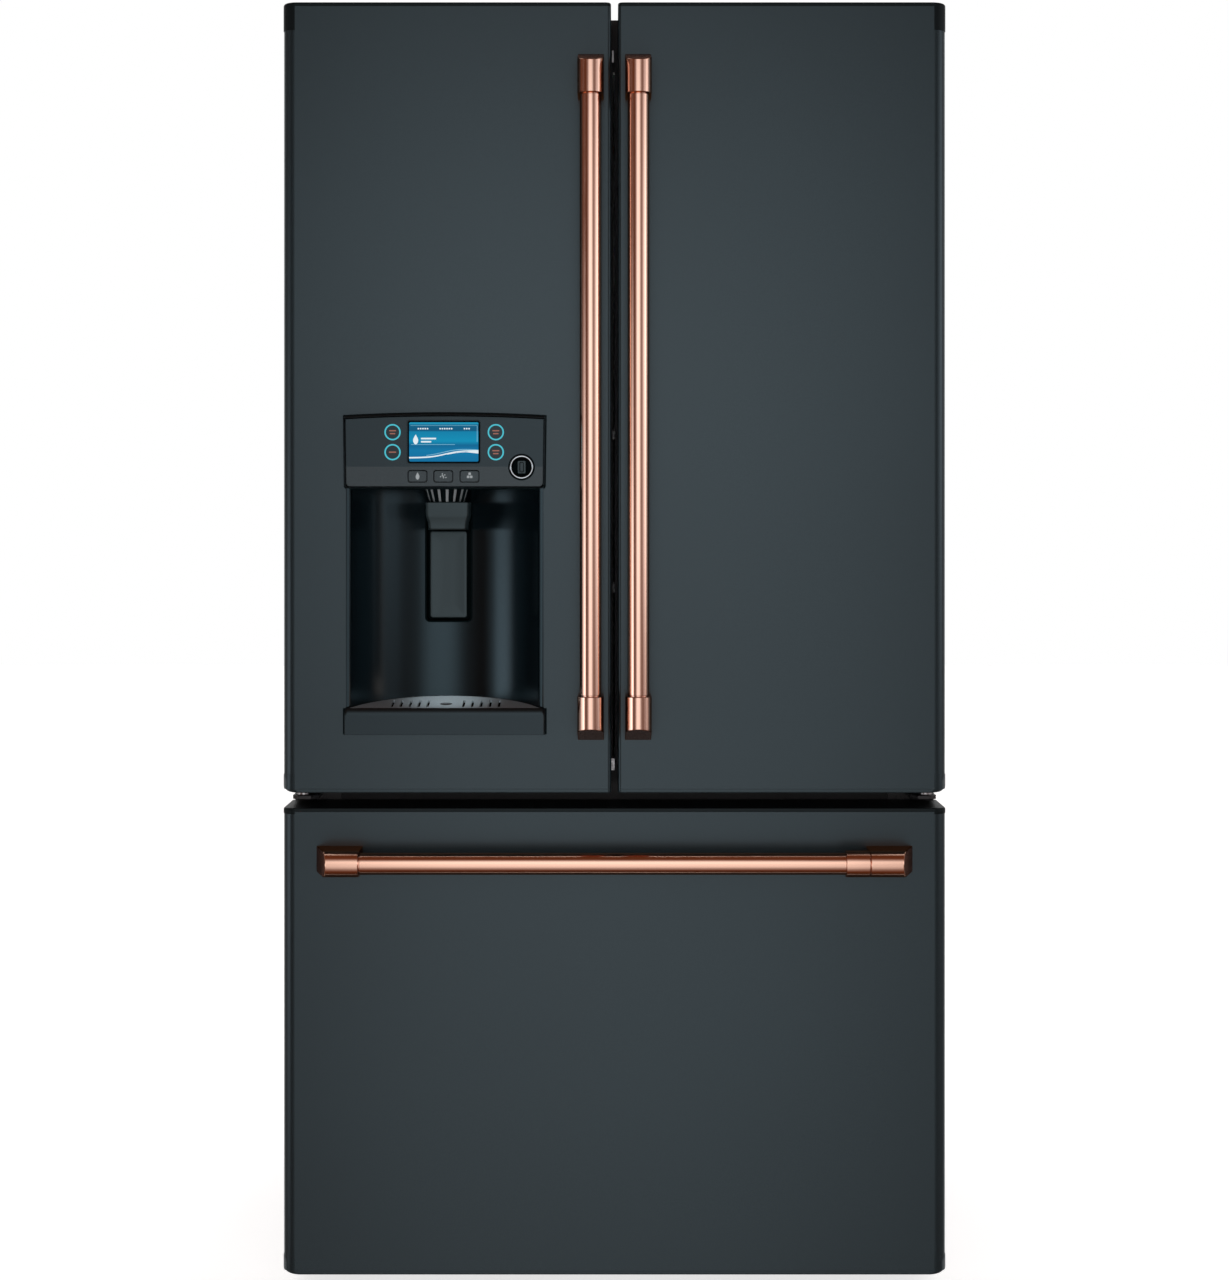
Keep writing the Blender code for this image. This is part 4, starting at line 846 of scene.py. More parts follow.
# ---------------------------------------------------------------- dispenser
PANEL_X = span("control_panel", X)
PANEL_Z = span("control_panel", Z)
PANEL_FRONT = low("control_panel", Y)
HOUSING_X = span("dispenser_housing", X, 0.0031)
RECESS_X = centre_of("control_panel", X)
RECESS_HALF = 0.1297
RECESS_DEPTH = 0.078
RECESS_LOW = low("drip_tray", Z) - 0.0003
RECESS_TOP = PANEL_Z[0]
RECESS_RADIUS = (RECESS_HALF**2 + RECESS_DEPTH**2) / (2 * RECESS_DEPTH)
RECESS_CENTRE_Y = FACE + RECESS_DEPTH - RECESS_RADIUS
PADDLE_X = centre_of("dispenser_paddle", X)
BODY = "left_door"
BUTTONS = ("button_water", "button_crushed", "button_cubed")
SOCKET_X, SOCKET_Z = -0.1266, 1.1368


def recess_y(x):
    """The depth of the recess's curved wall at a place across it."""
    return RECESS_CENTRE_Y + sqrt(RECESS_RADIUS**2 - (x - RECESS_X) ** 2)


def make_recess():
    """The curved wall with its side posts, ceiling and floor."""
    front = FACE - 0.0025
    post = 0.0016
    reach = RECESS_HALF - 0.0008
    sweep = asin(reach / RECESS_RADIUS) * 180 / pi
    centre = (RECESS_X, RECESS_CENTRE_Y)
    left, right = HOUSING_X
    outline = [(left, FACE + 0.012), (left, front + post), (left + post, front)]
    outline += [(RECESS_X - reach - post, front), (RECESS_X - reach, front + post)]
    outline += arc(centre, RECESS_RADIUS, 90 + sweep, 90 - sweep, 72)
    outline += [(RECESS_X + reach, front + post), (RECESS_X + reach + post, front)]
    outline += [(right - post, front), (right, front + post), (right, FACE + 0.012)]
    outline += arc(centre, RECESS_RADIUS + 0.003, 90 - sweep, 90 + sweep, 72)
    bm = prism(outline, Z, RECESS_LOW, RECESS_TOP + 0.002)
    wall = piece("recess_wall", bm, BODY, RECESS_PLASTIC, ["dispenser_housing"], angle=20)
    slot_x = around(PADDLE_X, 0.0312)
    slot_z = (low("dispenser_paddle", Z) - 0.0050, RECESS_TOP - 0.020)
    corner = 0.0055
    cut(wall, plate(slot_x, slot_z, corner, 8, Y, FACE + 0.05, FACE + 0.10))
    # Behind the slot a near-black tub, and round it a near-black rim, paint the shade in and round
    # the opening.
    slot_y = (DOOR_BACK - 0.0085, FACE + RECESS_DEPTH - 0.0005)
    bm = tub(slot_x, slot_z, *slot_y, 0.0012, corner, 0.001, Y)
    piece("paddle_slot", bm, BODY, PAINTED_SHADE_AND_BLACK_FRAME)
    rim = []
    for wider, y in ((0.0, -0.0010), (0.0016, -0.0010), (0.0016, 0.0012), (0.0, 0.0012)):
        outline = round_rect(grow(slot_x, wider), grow(slot_z, wider), corner + wider, 8)
        rim.append([(x, recess_y(x) + y, z) for x, z in outline])
    piece("slot_rim", loft(bmesh.new(), rim, cyclic=True), BODY, PAINTED_SHADE_AND_BLACK_FRAME, angle=50)
    # The ceiling and floor are near-black plates: painted shade over and under the recess.
    outline = arc(centre, RECESS_RADIUS + 0.001, 90 + sweep, 90 - sweep, 48)
    for name, z in (
        ("recess_ceiling", (RECESS_TOP - 0.0006, RECESS_TOP + 0.001)),
        ("recess_floor", (RECESS_LOW - 0.001, RECESS_LOW + 0.0002)),
    ):
        piece(name, prism(outline, Z, *z), BODY, PAINTED_SHADE_AND_BLACK_FRAME)


def make_ledge():
    """The front lip under the recess: its top edge rolls back, and its ends are rounded."""
    z = (low("dispenser_housing", Z), RECESS_LOW + 0.0065)
    front = low("dispenser_housing", Y)
    rise, run, side_round, shoulder, roll = 0.0130, 0.0128, 0.0032, 0.0085, radians(71)
    rings = []
    for step in range(9):
        turn = roll * step / 8
        depth, fall = run * (1 - cos(turn)), rise * (1 - sin(turn))
        side = side_round * (1 - sin(turn))
        x0, x1, top = PANEL_X[0] + side, PANEL_X[1] - side, z[1] - fall
        radius = shoulder - fall * 0.5
        outline = [(x0, z[0] + side * 0.3), (x1, z[0] + side * 0.3)]
        outline += arc((x1 - radius, top - radius), radius, 0, 90, 8)
        outline += arc((x0 + radius, top - radius), radius, 90, 180, 8)
        rings.append([(u, front + depth, v) for u, v in outline])
    rings.append([(u, FACE - 0.0004, v) for u, _, v in rings[-1]])
    ledge = piece("dispenser_ledge", loft(bmesh.new(), rings), BODY, PANEL_PLASTIC, angle=40)
    well = around(RECESS_X, 0.129)
    cut(ledge, block(well, (front + 0.0043, FACE + 0.01), (RECESS_LOW, z[1] + 0.01)))
    bm = bmesh.new()
    for edge, sense in ((PANEL_X[0], -1), (PANEL_X[1], 1)):
        line = tuple(sorted((edge - sense * 0.002, edge + sense * 0.0012)))
        block(line, (FACE - 0.0006, FACE + 0.002), (z[0] + 0.0006, z[1] - 0.004), bm)
    piece("ledge_shadow_lines", bm, BODY, PAINTED_SHADE_AND_BLACK_FRAME, bevel=0.0003)


def make_tray():
    """The brushed drip grille, which rises to the back, with slots and a round drain."""
    edge = RECESS_LOW + 0.0026
    front = low("drip_tray", Y)
    rise = (high("drip_tray", Z) - edge) / (high("drip_tray", Y) - front)
    sweep = 62.3
    centre = (RECESS_X, RECESS_CENTRE_Y)
    outline = arc(centre, RECESS_RADIUS - 0.001, 90 - sweep, 90 + sweep, 64)
    outline += [(outline[-1][0], front), (outline[0][0], front)]
    outline = [(x, max(y, front)) for x, y in outline]

    def top(y):
        return edge + (y - front) * rise

    def softened(x, y):
        inward = 1 if y <= front + 0.001 else -1
        return RECESS_X + (x - RECESS_X) * 0.997, y + 0.0003 * inward, top(y)

    rings = [[(x, y, top(y) - drop) for x, y in outline] for drop in (0.0030, 0.0004)]
    rings.append([softened(x, y) for x, y in outline])
    bm = loft(bmesh.new(), rings)
    tray = piece("drip_grille", bm, BODY, TRAY_STEEL, ["drip_tray"], angle=25)
    tools = []
    slot_y, slot_z = (front + 0.010, front + 0.052), (RECESS_LOW - 0.01, RECESS_LOW + 0.05)
    for side in (-1, 1):
        for number in range(2, 7):
            x = RECESS_X + side * (0.0122 * number)
            tools.append(plate(around(x, 0.0017), slot_y, 0.0016, 4, Z, *slot_z))
    drain = Vector((RECESS_X, front + 0.030, RECESS_LOW))
    up = Vector((0, 0, 1))
    tools.append(rod(drain - up * 0.01, drain + up * 0.04, 0.0085, 32))
    cut(tray, *tools)
    grate = drain + up * 0.0062
    half = 0.0006
    bm = bmesh.new()
    for turn in range(6):
        a = pi * turn / 6
        run = Vector((cos(a), sin(a), 0)) * 0.0084
        rod(grate - run, grate + run, 0.0007, 6, bm)
    for size in (0.0030, 0.0058):
        profile = [
            (size - half, -half), (size + half, -half), (size + half, half), (size - half, half)
        ]
        turned(profile, grate, Z, 28, bm)
    piece("drain_grate", bm, BODY, ENAMEL)


def panel_outline(inset, top_inset, crease):
    """The panel's shape: arched top, slightly narrower foot with rounded corners."""
    half = (PANEL_X[1] - PANEL_X[0]) / 2
    x0, x1 = grow(PANEL_X, -inset)
    taper, radius, rise = 0.0012, 0.0050, 0.0040
    base = PANEL_Z[0] + inset
    narrowing = taper * 0.7
    points = arc((x0 + taper + radius, base + radius), radius, 180, 270, 8)
    points += arc((x1 - taper - radius, base + radius), radius, 270, 360, 8)
    points.append((x1 - narrowing, crease))
    for step in range(25):
        x = x1 - (x1 - x0) * step / 24
        points.append((x, PANEL_Z[1] - top_inset - rise * ((x - RECESS_X) / half) ** 2))
    points.append((x0 + narrowing, crease))
    return points


def make_control_panel():
    """The bezel: a rolled rim, a fine groove, and a face whose lower band leans back."""
    crease = PANEL_Z[0] + 0.0295
    back = FACE - 0.0004
    band_lean = 0.07
    band_angle = 2.5

    def ring(inset, top_inset, depth):
        made = []
        for x, z in panel_outline(inset, top_inset, crease):
            y = PANEL_FRONT + depth + max(crease - z, 0.0) * band_lean
            made.append((x, min(y, back), z))
        return made

    rim = [
        ring(*level)
        for level in (
            (0.0, 0.0, 0.0100), (0.0, 0.0, 0.0038), (0.0003, 0.0010, 0.0015),
            (0.0008, 0.0022, 0.0004), (0.0013, 0.0034, 0.0), (0.0017, 0.0038, 0.0005),
            (0.0018, 0.0039, 0.0024), (0.0022, 0.0043, 0.0100),
        )
    ]
    piece("panel_rim", loft(bmesh.new(), rim, cyclic=True), BODY, PANEL_PLASTIC, angle=50)
    face = [
        ring(*level)
        for level in (
            (0.0026, 0.0047, 0.0100), (0.0026, 0.0047, 0.0006), (0.0030, 0.0051, 0.0001),
            (0.0038, 0.0059, 0.0),
        )
    ]
    bm = loft(bmesh.new(), face)
    bm.faces.ensure_lookup_table()
    front = bm.faces[-1]
    fold = [vert for vert in front.verts if abs(vert.co.z - crease) < 1e-6]
    bmesh.utils.face_split(front, *fold)
    panel = piece(
        "panel_bezel", bm, BODY, PANEL_PLASTIC, ["control_panel"], angle=band_angle,
        extra=[BAND_PAINTED_REFLECTION],
    )
    through = (PANEL_FRONT - 0.01, FACE + 0.01)
    tools = [
        plate(span(name, X, -0.0003), span(name, Z, -0.0003), 0.0034, 6, Y, *through)
        for name in BUTTONS
    ]
    x, z = (span("display_screen", axis, -0.0012) for axis in (X, Z))
    tools.append(plate(x, z, 0.0032, 6, Y, PANEL_FRONT - 0.01, PANEL_FRONT + 0.0024))
    hole = [(SOCKET_X, y, SOCKET_Z) for y in through]
    tools.append(rod(*hole, 0.0150, 48))
    cut(panel, *tools)
    # The lower band's front faces take the lighter grey: painted reflection.
    for polygon in panel.data.polygons:
        if polygon.center.z < crease and polygon.normal.y < -0.5:
            polygon.material_index = 1
    panel.data.set_sharp_from_angle(angle=radians(band_angle))
    line = []
    for inset, y in ((-0.0012, 0.001), (-0.0012, -0.0006), (0.0006, -0.0006), (0.0006, 0.001)):
        line.append([(x, FACE + y, z) for x, z in panel_outline(inset, inset, crease)])
    bm = loft(bmesh.new(), line, cyclic=True)
    piece("panel_shadow_line", bm, BODY, PAINTED_SHADE_AND_BLACK_FRAME, angle=50)


def make_display():
    """The screen's black frame and its lit picture: menu bar, drop icon, rules and ribbons."""
    x, z = span("display_screen", X), span("display_screen", Z)
    border = 0.0022
    levels = [
        (inset, PANEL_FRONT + y)
        for inset, y in (
            (0.0, 0.0016), (0.0, 0.0003), (0.0004, -0.0001), (border - 0.0006, -0.0001),
            (border, 0.0003), (border, 0.0016),
        )
    ]
    bm = stack(x, z, levels, 0.0030, 6, Y, shrink=0.5, cyclic=True)
    piece("screen_frame", bm, BODY, PAINTED_SHADE_AND_BLACK_FRAME, ["display_screen"], angle=40)
    left, right = grow(x, -border * 0.9)
    floor, ceiling = grow(z, -border * 0.9)
    wide, tall = right - left, ceiling - floor
    picture_y = PANEL_FRONT + 0.0008
    bm = plate((left, right), (floor, ceiling), 0.0008, 3, Y, picture_y, picture_y + 0.0012)
    piece("screen_picture", bm, BODY, SCREEN)

    def ribbon(bm, height, thick, along=(0.0, 1.0), steps=40):
        near, far = picture_y - 0.00025, picture_y - 0.00002
        rings = []
        for step in range(steps + 1):
            share = along[0] + (along[1] - along[0]) * step / steps
            u = left + wide * share
            v = floor + tall * height(share)
            t = tall * max(thick(share), 0.002)
            rings.append([(u, near, v - t), (u, near, v + t), (u, far, v + t), (u, far, v - t)])
        return loft(bm, rings)

    def swell(share):
        return 0.10 + 0.185 / (1 + 2.718 ** (-9 * (share - 0.52)))

    def tail(share):
        return 0.006 + 0.030 * max(share - 0.82, 0) / 0.18 * 1.2

    bm = ribbon(bmesh.new(), swell, lambda s: 0.012 + 0.018 * (1 - s) * 0.4)
    ribbon(bm, lambda s: swell(s) - 0.035 * s, tail, (0.55, 1.0))
    piece("screen_ribbon", bm, BODY, WHITE_MARK, angle=50)

    def wake(share):
        return swell(share) + 0.045 * sin(pi * share) + 0.012

    bm = ribbon(bmesh.new(), wake, lambda s: 0.006 + 0.004 * s, (0.25, 1.0))
    piece("screen_wake", bm, BODY, LIGHT_BLUE, angle=50)
    y = (picture_y - 0.00018, picture_y)
    rule_x = (left + wide * 0.03, left + wide * 0.66)
    bm = block(rule_x, y, (floor + tall * 0.428, floor + tall * 0.440))
    rule_x = grow((left, right), -wide * 0.02)
    block(rule_x, y, (ceiling - tall * 0.088, ceiling - tall * 0.080), bm)
    rule_x = (right - wide * 0.024, right - wide * 0.017)
    block(rule_x, y, (floor + tall * 0.50, ceiling - tall * 0.09), bm)
    piece("screen_rules", bm, BODY, LIGHT_BLUE)
    bm = bmesh.new()
    y = (picture_y - 0.0002, picture_y - 0.00001)
    menu = ceiling - tall * 0.165
    for share, count in ((0.20, 5), (0.53, 6), (0.83, 3)):
        for number in range(count):
            u = left + wide * (share + (number - (count - 1) / 2) * 0.033)
            plate(around(u, wide * 0.011), around(menu, tall * 0.018), 0.0004, 3, Y, *y, bm)
    drop_icon(bm, (left + wide * 0.095, floor + tall * 0.545), tall * 0.105, picture_y)
    start = left + wide * 0.170
    for number, length in enumerate((0.22, 0.15)):
        v = floor + tall * (0.585 - 0.080 * number)
        bar = (start, left + wide * (0.170 + length))
        plate(bar, around(v, tall * 0.020), 0.0008, 3, Y, *y, bm)
    piece("screen_icons", bm, BODY, WHITE_MARK)


def drop_icon(bm, centre, size, y):
    """A water drop, point up."""
    outline = []
    for step in range(24):
        turn = 2 * pi * step / 24
        upper = max(sin(turn), 0)
        u = centre[0] + size * 0.62 * cos(turn) * (1 - 0.55 * upper**2)
        outline.append((u, centre[1] + size * (sin(turn) + 0.35 * upper**4)))
    return prism(outline, Y, y - 0.0002, y - 0.00001, bm)


def make_touch_rings():
    """Four printed rings with one or two short bars each."""
    rings, marks = bmesh.new(), bmesh.new()
    radius, line = 0.0101, 0.0010
    y0, y1 = PANEL_FRONT - 0.0003, PANEL_FRONT + 0.0004
    profile = [(radius - line, y0), (radius + line, y0), (radius + line, y1), (radius - line, y1)]
    two_bars, one_bar = ((0.0020, 0.0048), (-0.0020, 0.0038)), ((0.0, 0.0050),)
    for x, z, rows in (
        (-0.3022, 1.1843, two_bars), (-0.3022, 1.1571, one_bar),
        (-0.1616, 1.1843, two_bars), (-0.1616, 1.1571, two_bars),
    ):
        turned(profile, (x, 0, z), Y, 56, rings)
        for lift, half in rows:
            bar = (around(x, half), around(z + lift, 0.0008))
            plate(*bar, 0.0006, 3, Y, PANEL_FRONT - 0.0003, PANEL_FRONT + 0.0003, marks)
    piece("touch_rings", rings, BODY, CYAN, angle=50)
    piece("touch_marks", marks, BODY, RED_MARK)


def make_keys():
    """Three keys, each with a raised rounded face and its own icon."""
    for name in BUTTONS:
        x, z = span(name, X), span(name, Z)
        front = low(name, Y) + 0.0022
        levels = [
            (inset, front + y)
            for inset, y in (
                (0.0, 0.0120), (0.0, 0.0012), (0.0003, 0.0004), (0.0010, 0.0),
                (0.0013, 0.0003), (0.0020, 0.0003),
            )
        ]
        bm = stack(x, z, levels, 0.0032, 6, Y, shrink=0.4)
        # The key caps take the band's lighter grey, with its painted reflection.
        piece(f"{name}_cap", bm, name, BAND_PAINTED_REFLECTION, [name], angle=40)
        u0, v0 = sum(x) / 2, sum(z) / 2
        y = front + 0.0002
        bm = bmesh.new()
        if name == "button_water":
            drop_icon(bm, (u0, v0 - 0.0003), 0.0042, y)
        elif name == "button_cubed":
            for du, dv in ((-0.0036, -0.0012), (0.0006, -0.0012), (-0.0015, 0.0030)):
                u, v = u0 + du, v0 + dv - 0.0012
                plate((u, u + 0.0034), (v, v + 0.0034), 0.0005, 3, Y, y - 0.0002, y, bm)
        else:
            for number in range(7):
                u = u0 + 0.0050 * cos(2.4 * number) * sqrt(number / 7)
                v = v0 + 0.0036 * sin(2.4 * number) * sqrt(number / 7)
                chip = [(u - 0.0012, v), (u, v - 0.0010), (u + 0.0012, v), (u, v + 0.0012)]
                prism(chip, Y, y - 0.0002, y, bm)
        piece(f"{name}_icon", bm, name, PALE_MARK)


def make_socket():
    """The round accessory socket: polished ring, painted shadow line, a well in near-black as
    painted shade, upright tongue.
    """
    front = PANEL_FRONT
    for name, segments, material, angle, profile in (
        ("socket_ring", 64, CHROME, 60, (
            (0.0134, 0.006), (0.0134, -0.0004), (0.0140, -0.0012), (0.0152, -0.0014),
            (0.0160, -0.0008), (0.0163, 0.0004), (0.0163, 0.0018),
        )),
        ("socket_shadow_line", 64, PAINTED_SHADE_AND_BLACK_FRAME, 60, (
            (0.0163, -0.0001), (0.0182, -0.0001), (0.0182, 0.0006), (0.0163, 0.0006),
        )),
        ("socket_well", 48, PAINTED_SHADE_AND_BLACK_FRAME, 40, (
            (0.0002, 0.0140), (0.0002, 0.0150), (0.0142, 0.0150), (0.0142, 0.0002),
            (0.0133, 0.0002), (0.0133, 0.0130), (0.0120, 0.0140),
        )),
    ):
        profile = [(radius, front + y) for radius, y in profile]
        bm = turned(profile, (SOCKET_X, 0, SOCKET_Z), Y, segments)
        piece(name, bm, BODY, material, angle=angle)
    x, z = around(SOCKET_X, 0.0058), around(SOCKET_Z, 0.0090)
    bm = plate(x, z, 0.0022, 5, Y, front + 0.0035, front + 0.0142)
    tongue = piece("socket_tongue", bm, BODY, PADDLE_PLASTIC, bevel=0.0008)
    x, z = around(SOCKET_X, 0.0026), around(SOCKET_Z, 0.0064)
    cut(tongue, plate(x, z, 0.0012, 4, Y, front, front + 0.0065))


def make_spout():
    """The ribbed funnel over a tapered chute block."""
    x, y, z = spans("ice_chute")
    centre_x, centre_y = PADDLE_X - 0.0005, sum(y) / 2
    top, waist = z[1] - 0.0004, z[1] - 0.0175
    rib, outer_oval, inner_oval = 0.0022, 1.22, 1.2
    rings = []
    for level, size, raised, oval in (
        (top, 0.0225, rib, outer_oval), (waist + 0.003, 0.0190, rib, outer_oval),
        (waist, 0.0184, rib, outer_oval), (waist + 0.001, 0.0160, 0.0, inner_oval),
        (top - 0.001, 0.0190, 0.0, inner_oval),
    ):
        ring = []
        for step in range(96):
            turn = 2 * pi * step / 96
            reach = size + (raised if step % 6 < 3 else 0.0)
            u = centre_x + reach * oval * cos(turn)
            ring.append((u, centre_y + reach * sin(turn), level))
        rings.append(ring)
    bm = loft(bmesh.new(), rings, cyclic=True)
    funnel = piece(
        "ribbed_funnel", bm, BODY, GREY_PLASTIC, ["ice_chute"], angle=30, extra=[PAINTED_SHADE_AND_BLACK_FRAME]
    )
    # The funnel's inside and the grooves between its ribs take the near-black material: painted
    # shade.
    for polygon in funnel.data.polygons:
        across = (polygon.center.x - centre_x) / outer_oval
        reach = sqrt(across**2 + (polygon.center.y - centre_y) ** 2)
        waist_share = (polygon.center.z - waist) / (top - waist)
        valley = 0.0184 + 0.0041 * waist_share
        if reach < valley + 0.0012:
            polygon.material_index = 1
    upper, lower = waist - 0.0006, z[0]
    wide = (x[1] - x[0]) / 2 - 0.0010
    rings = []
    for level, half, front in (
        (upper, wide, 0.0020), (upper - 0.0008, wide + 0.0008, 0.0010),
        (upper - 0.018, wide + 0.0006, 0.0014), (upper - 0.022, wide - 0.0004, 0.0024),
        (upper - 0.028, wide - 0.0022, 0.0044), (lower + 0.0022, wide - 0.0028, 0.0050),
        (lower + 0.0010, wide - 0.0022, 0.0044), (lower, wide - 0.0024, 0.0050),
    ):
        outline = round_rect(around(PADDLE_X + 0.0016, half), (y[0] + front, y[1]), 0.004, 5)
        rings.append([(u, v, level) for u, v in outline])
    chute = piece("chute_block", loft(bmesh.new(), rings), BODY, PADDLE_PLASTIC, angle=35)
    bore = [(PADDLE_X, centre_y + 0.003, level) for level in (lower - 0.01, upper + 0.01)]
    cut(chute, rod(*bore, 0.01476, 40))


def make_paddle():
    """The satin pad with a shallow dished face."""
    name = "dispenser_paddle"
    x, y, z = spans(name)
    levels = [(0.0, y[1])] + [
        (inset, y[0] + depth)
        for inset, depth in (
            (0.0, 0.0014), (0.0005, 0.0004), (0.0016, 0.0), (0.0050, 0.0002),
            (0.0100, 0.0006), (0.0180, 0.0009),
        )
    ]
    bm = stack(x, z, levels, 0.0034, 6, Y, shrink=0.1)
    piece("pad", bm, name, PADDLE_PLASTIC, [name], angle=40)
    ends = [(u, y[0] + 0.003, z[1] - 0.003) for u in grow(x, -0.002)]
    piece("pad_pin", rod(*ends, 0.0026, 20), name, ZINC)


# ---------------------------------------------------------------- case
def make_case():
    """The wrap, front flanges, back panel and floor plate."""
    x, z = span("cabinet_shell", X), span("cabinet_shell", Z)
    body = "cabinet"
    thick = 0.0012
    corner = 0.005
    inner_x = grow(x, -thick)

    def hood(inset):
        path = [(x[0] + inset, z[0])]
        path += arc((x[0] + corner, z[1] - corner), corner - inset, 180, 90, 6)
        path += arc((x[1] - corner, z[1] - corner), corner - inset, 90, 0, 6)
        return path + [(x[1] - inset, z[0])]

    wrap = prism(hood(0.0) + hood(thick)[::-1], Y, CASE_FRONT, CASE_BACK - 0.0006)
    piece("case_wrap", wrap, body, CASE_PAINT, ["cabinet_shell"], angle=50)
    bm = block(inner_x, (CASE_FRONT, CASE_FRONT + 0.003), (z[0], z[1] - thick))
    front = piece("case_front", bm, body, CASE_PAINT)
    for liner in ("fresh_food_liner", "freezer_liner"):
        mouth = (span(liner, X, -0.0002), span(liner, Z, -0.0002))
        cut(front, plate(*mouth, 0.018, 8, Y, *around(CASE_FRONT, 0.01)))
    room_top = high("machine_cover", Z) + 0.003
    panel_x, panel_z = grow(x, -0.004), (room_top, z[1] - 0.004)
    rings = []
    for inset, radius, depth in (
        (0.0, 0.002, 0.0020), (0.0, 0.002, 0.0006), (0.030, 0.012, 0.0006),
        (0.036, 0.012, 0.0046), (0.075, 0.016, 0.0046), (0.083, 0.016, 0.0006),
    ):
        outline = round_rect(grow(panel_x, -inset), grow(panel_z, -inset), radius, 6)
        rings.append([(u, CASE_BACK - depth, v) for u, v in outline])
    piece("case_back", loft(bmesh.new(), rings), body, ZINC, angle=25)
    bm = bmesh.new()
    for number in range(5):
        centre = panel_z[0] + 0.20 + 0.27 * number
        rings = []
        for half_x, half_z, radius, y in (
            (0.30, 0.008, 0.0075, CASE_BACK - 0.0008), (0.297, 0.005, 0.0048, CASE_BACK + 0.0016)
        ):
            outline = round_rect((-half_x, half_x), around(centre, half_z), radius, 6)
            rings.append([(u, y, v) for u, v in outline])
        loft(bm, rings)
    piece("back_ribs", bm, body, ZINC, angle=25)
    lip = bmesh.new()
    for lip_x, lip_z in (
        ((x[0] + 0.001, x[0] + 0.014), (z[0], z[1] - 0.002)),
        ((x[1] - 0.014, x[1] - 0.001), (z[0], z[1] - 0.002)),
        (grow(x, -0.001), (z[1] - 0.014, z[1] - 0.001)),
    ):
        block(lip_x, (CASE_BACK - 0.0010, CASE_BACK), lip_z, lip)
    piece("back_hem", lip, body, CASE_PAINT)
    flanges = bmesh.new()
    for edge, inner in zip(inner_x, span("machine_cover", X)):
        lap = inner + (0.004 if inner < 0 else -0.004)
        depth = (CASE_BACK - 0.0022, CASE_BACK - 0.0010)
        block(tuple(sorted((edge, lap))), depth, (z[0], room_top), flanges)
    piece("machine_flanges", flanges, body, CASE_PAINT, bevel=0.0003)
    places = []
    for side in grow(x, -0.008):
        places += [(side, CASE_BACK, 0.30 + 0.20 * number) for number in range(8)]
    places += [(-0.36 + 0.18 * number, CASE_BACK, z[1] - 0.008) for number in range(5)]
    screws("back_screws", body, places, (0, 1, 0), 0.0035)
    floor_y = (CASE_FRONT, low("machine_cover", Y) - 0.25)
    piece("case_floor", block(inner_x, floor_y, (z[0], z[0] + thick)), body, ZINC)


def make_case_top():
    """Hinges, their covers, the guide over the centre gap and the mullion's own hinge leaves."""
    for side, word in WORD.items():
        cover = f"hinge_cover_{word}"
        x, y, z = spans(cover)
        rings = []
        for inset, level in (
            (0.0, z[0]), (0.0, z[1] - 0.008), (0.0010, z[1] - 0.0040), (0.0034, z[1] - 0.0012),
            (0.0080, z[1]),
        ):
            outline = round_rect(grow(x, -inset), (y[0] + inset * 0.4, y[1] - inset), 0.010, 8)
            rings.append([(u, v, level) for u, v in outline])
        name, bm = f"{word}_hinge_hood", loft(bmesh.new(), rings)
        shell = piece(name, bm, "cabinet", BLACK_PLASTIC, [cover], angle=40)
        hollow = (grow(x, -0.0025), (y[0] - 0.01, y[1] - 0.003), (z[0] - 0.01, z[0] + 0.008))
        cut(shell, block(*hollow))
        place = (sum(x) / 2, y[0] + 0.085, z[1] + 0.0001)
        screws(f"{word}_hood_screw", "cabinet", [place], (0, 0, 1), 0.0042)
        make_top_hinge(side, word)
        make_centre_hinge(side, word)
    back = high("center_hinge_left", Y)
    guide_z = (CASE_TOP - 0.004, CAD_BOX[1].z - 0.0005)
    bm = plate((-0.019, 0.019), guide_z, 0.003, 5, Y, back + 0.0010, back + 0.045)
    piece("mullion_guide", bm, "cabinet", BLACK_PLASTIC, bevel=0.0008)
    leaf_y = (DOOR_BACK - 0.0010, DOOR_BACK + 0.0003)
    for number, (level, half) in enumerate(((1.7175, 0.0014), (0.7210, 0.0026))):
        leaf_x = around(-0.0026 + half * 0.2, half)
        bm = plate(leaf_x, around(level, 0.0085), 0.001, 3, Y, *leaf_y)
        piece(f"mullion_leaf_{number}", bm, "left_door", ZINC, bevel=0.0003)


def make_top_hinge(side, word):
    """The plated arm, its foot and the pin."""
    z0 = CASE_TOP + 0.0003
    thick, radius = 0.004, 0.014
    pin_x, pin_y = side * PIN_X, PIN_Y
    root = CASE_FRONT + 0.030
    arm = [(pin_x - radius, root), (pin_x - radius, pin_y)]
    arm += arc((pin_x, pin_y), radius, 180, 360, 14) + [(pin_x + radius, root)]
    foot = round_rect(
        side_span(side, (0.340, 0.446)), (CASE_FRONT + 0.012, CASE_FRONT + 0.095), 0.006, 5
    )
    pin = rod((pin_x, pin_y, z0 - 0.020), (pin_x, pin_y, z0 + thick - 0.001), 0.006, 28)
    for part, bm, replaced in (
        ("arm", prism(arm, Z, z0, z0 + thick), [f"top_hinge_{word}"]),
        ("foot", prism(foot, Z, z0 + 0.00005, z0 + thick - 0.0002), []),
        ("pin", pin, []),
    ):
        piece(f"{word}_hinge_{part}", bm, "cabinet", ZINC, replaced, bevel=0.0006)


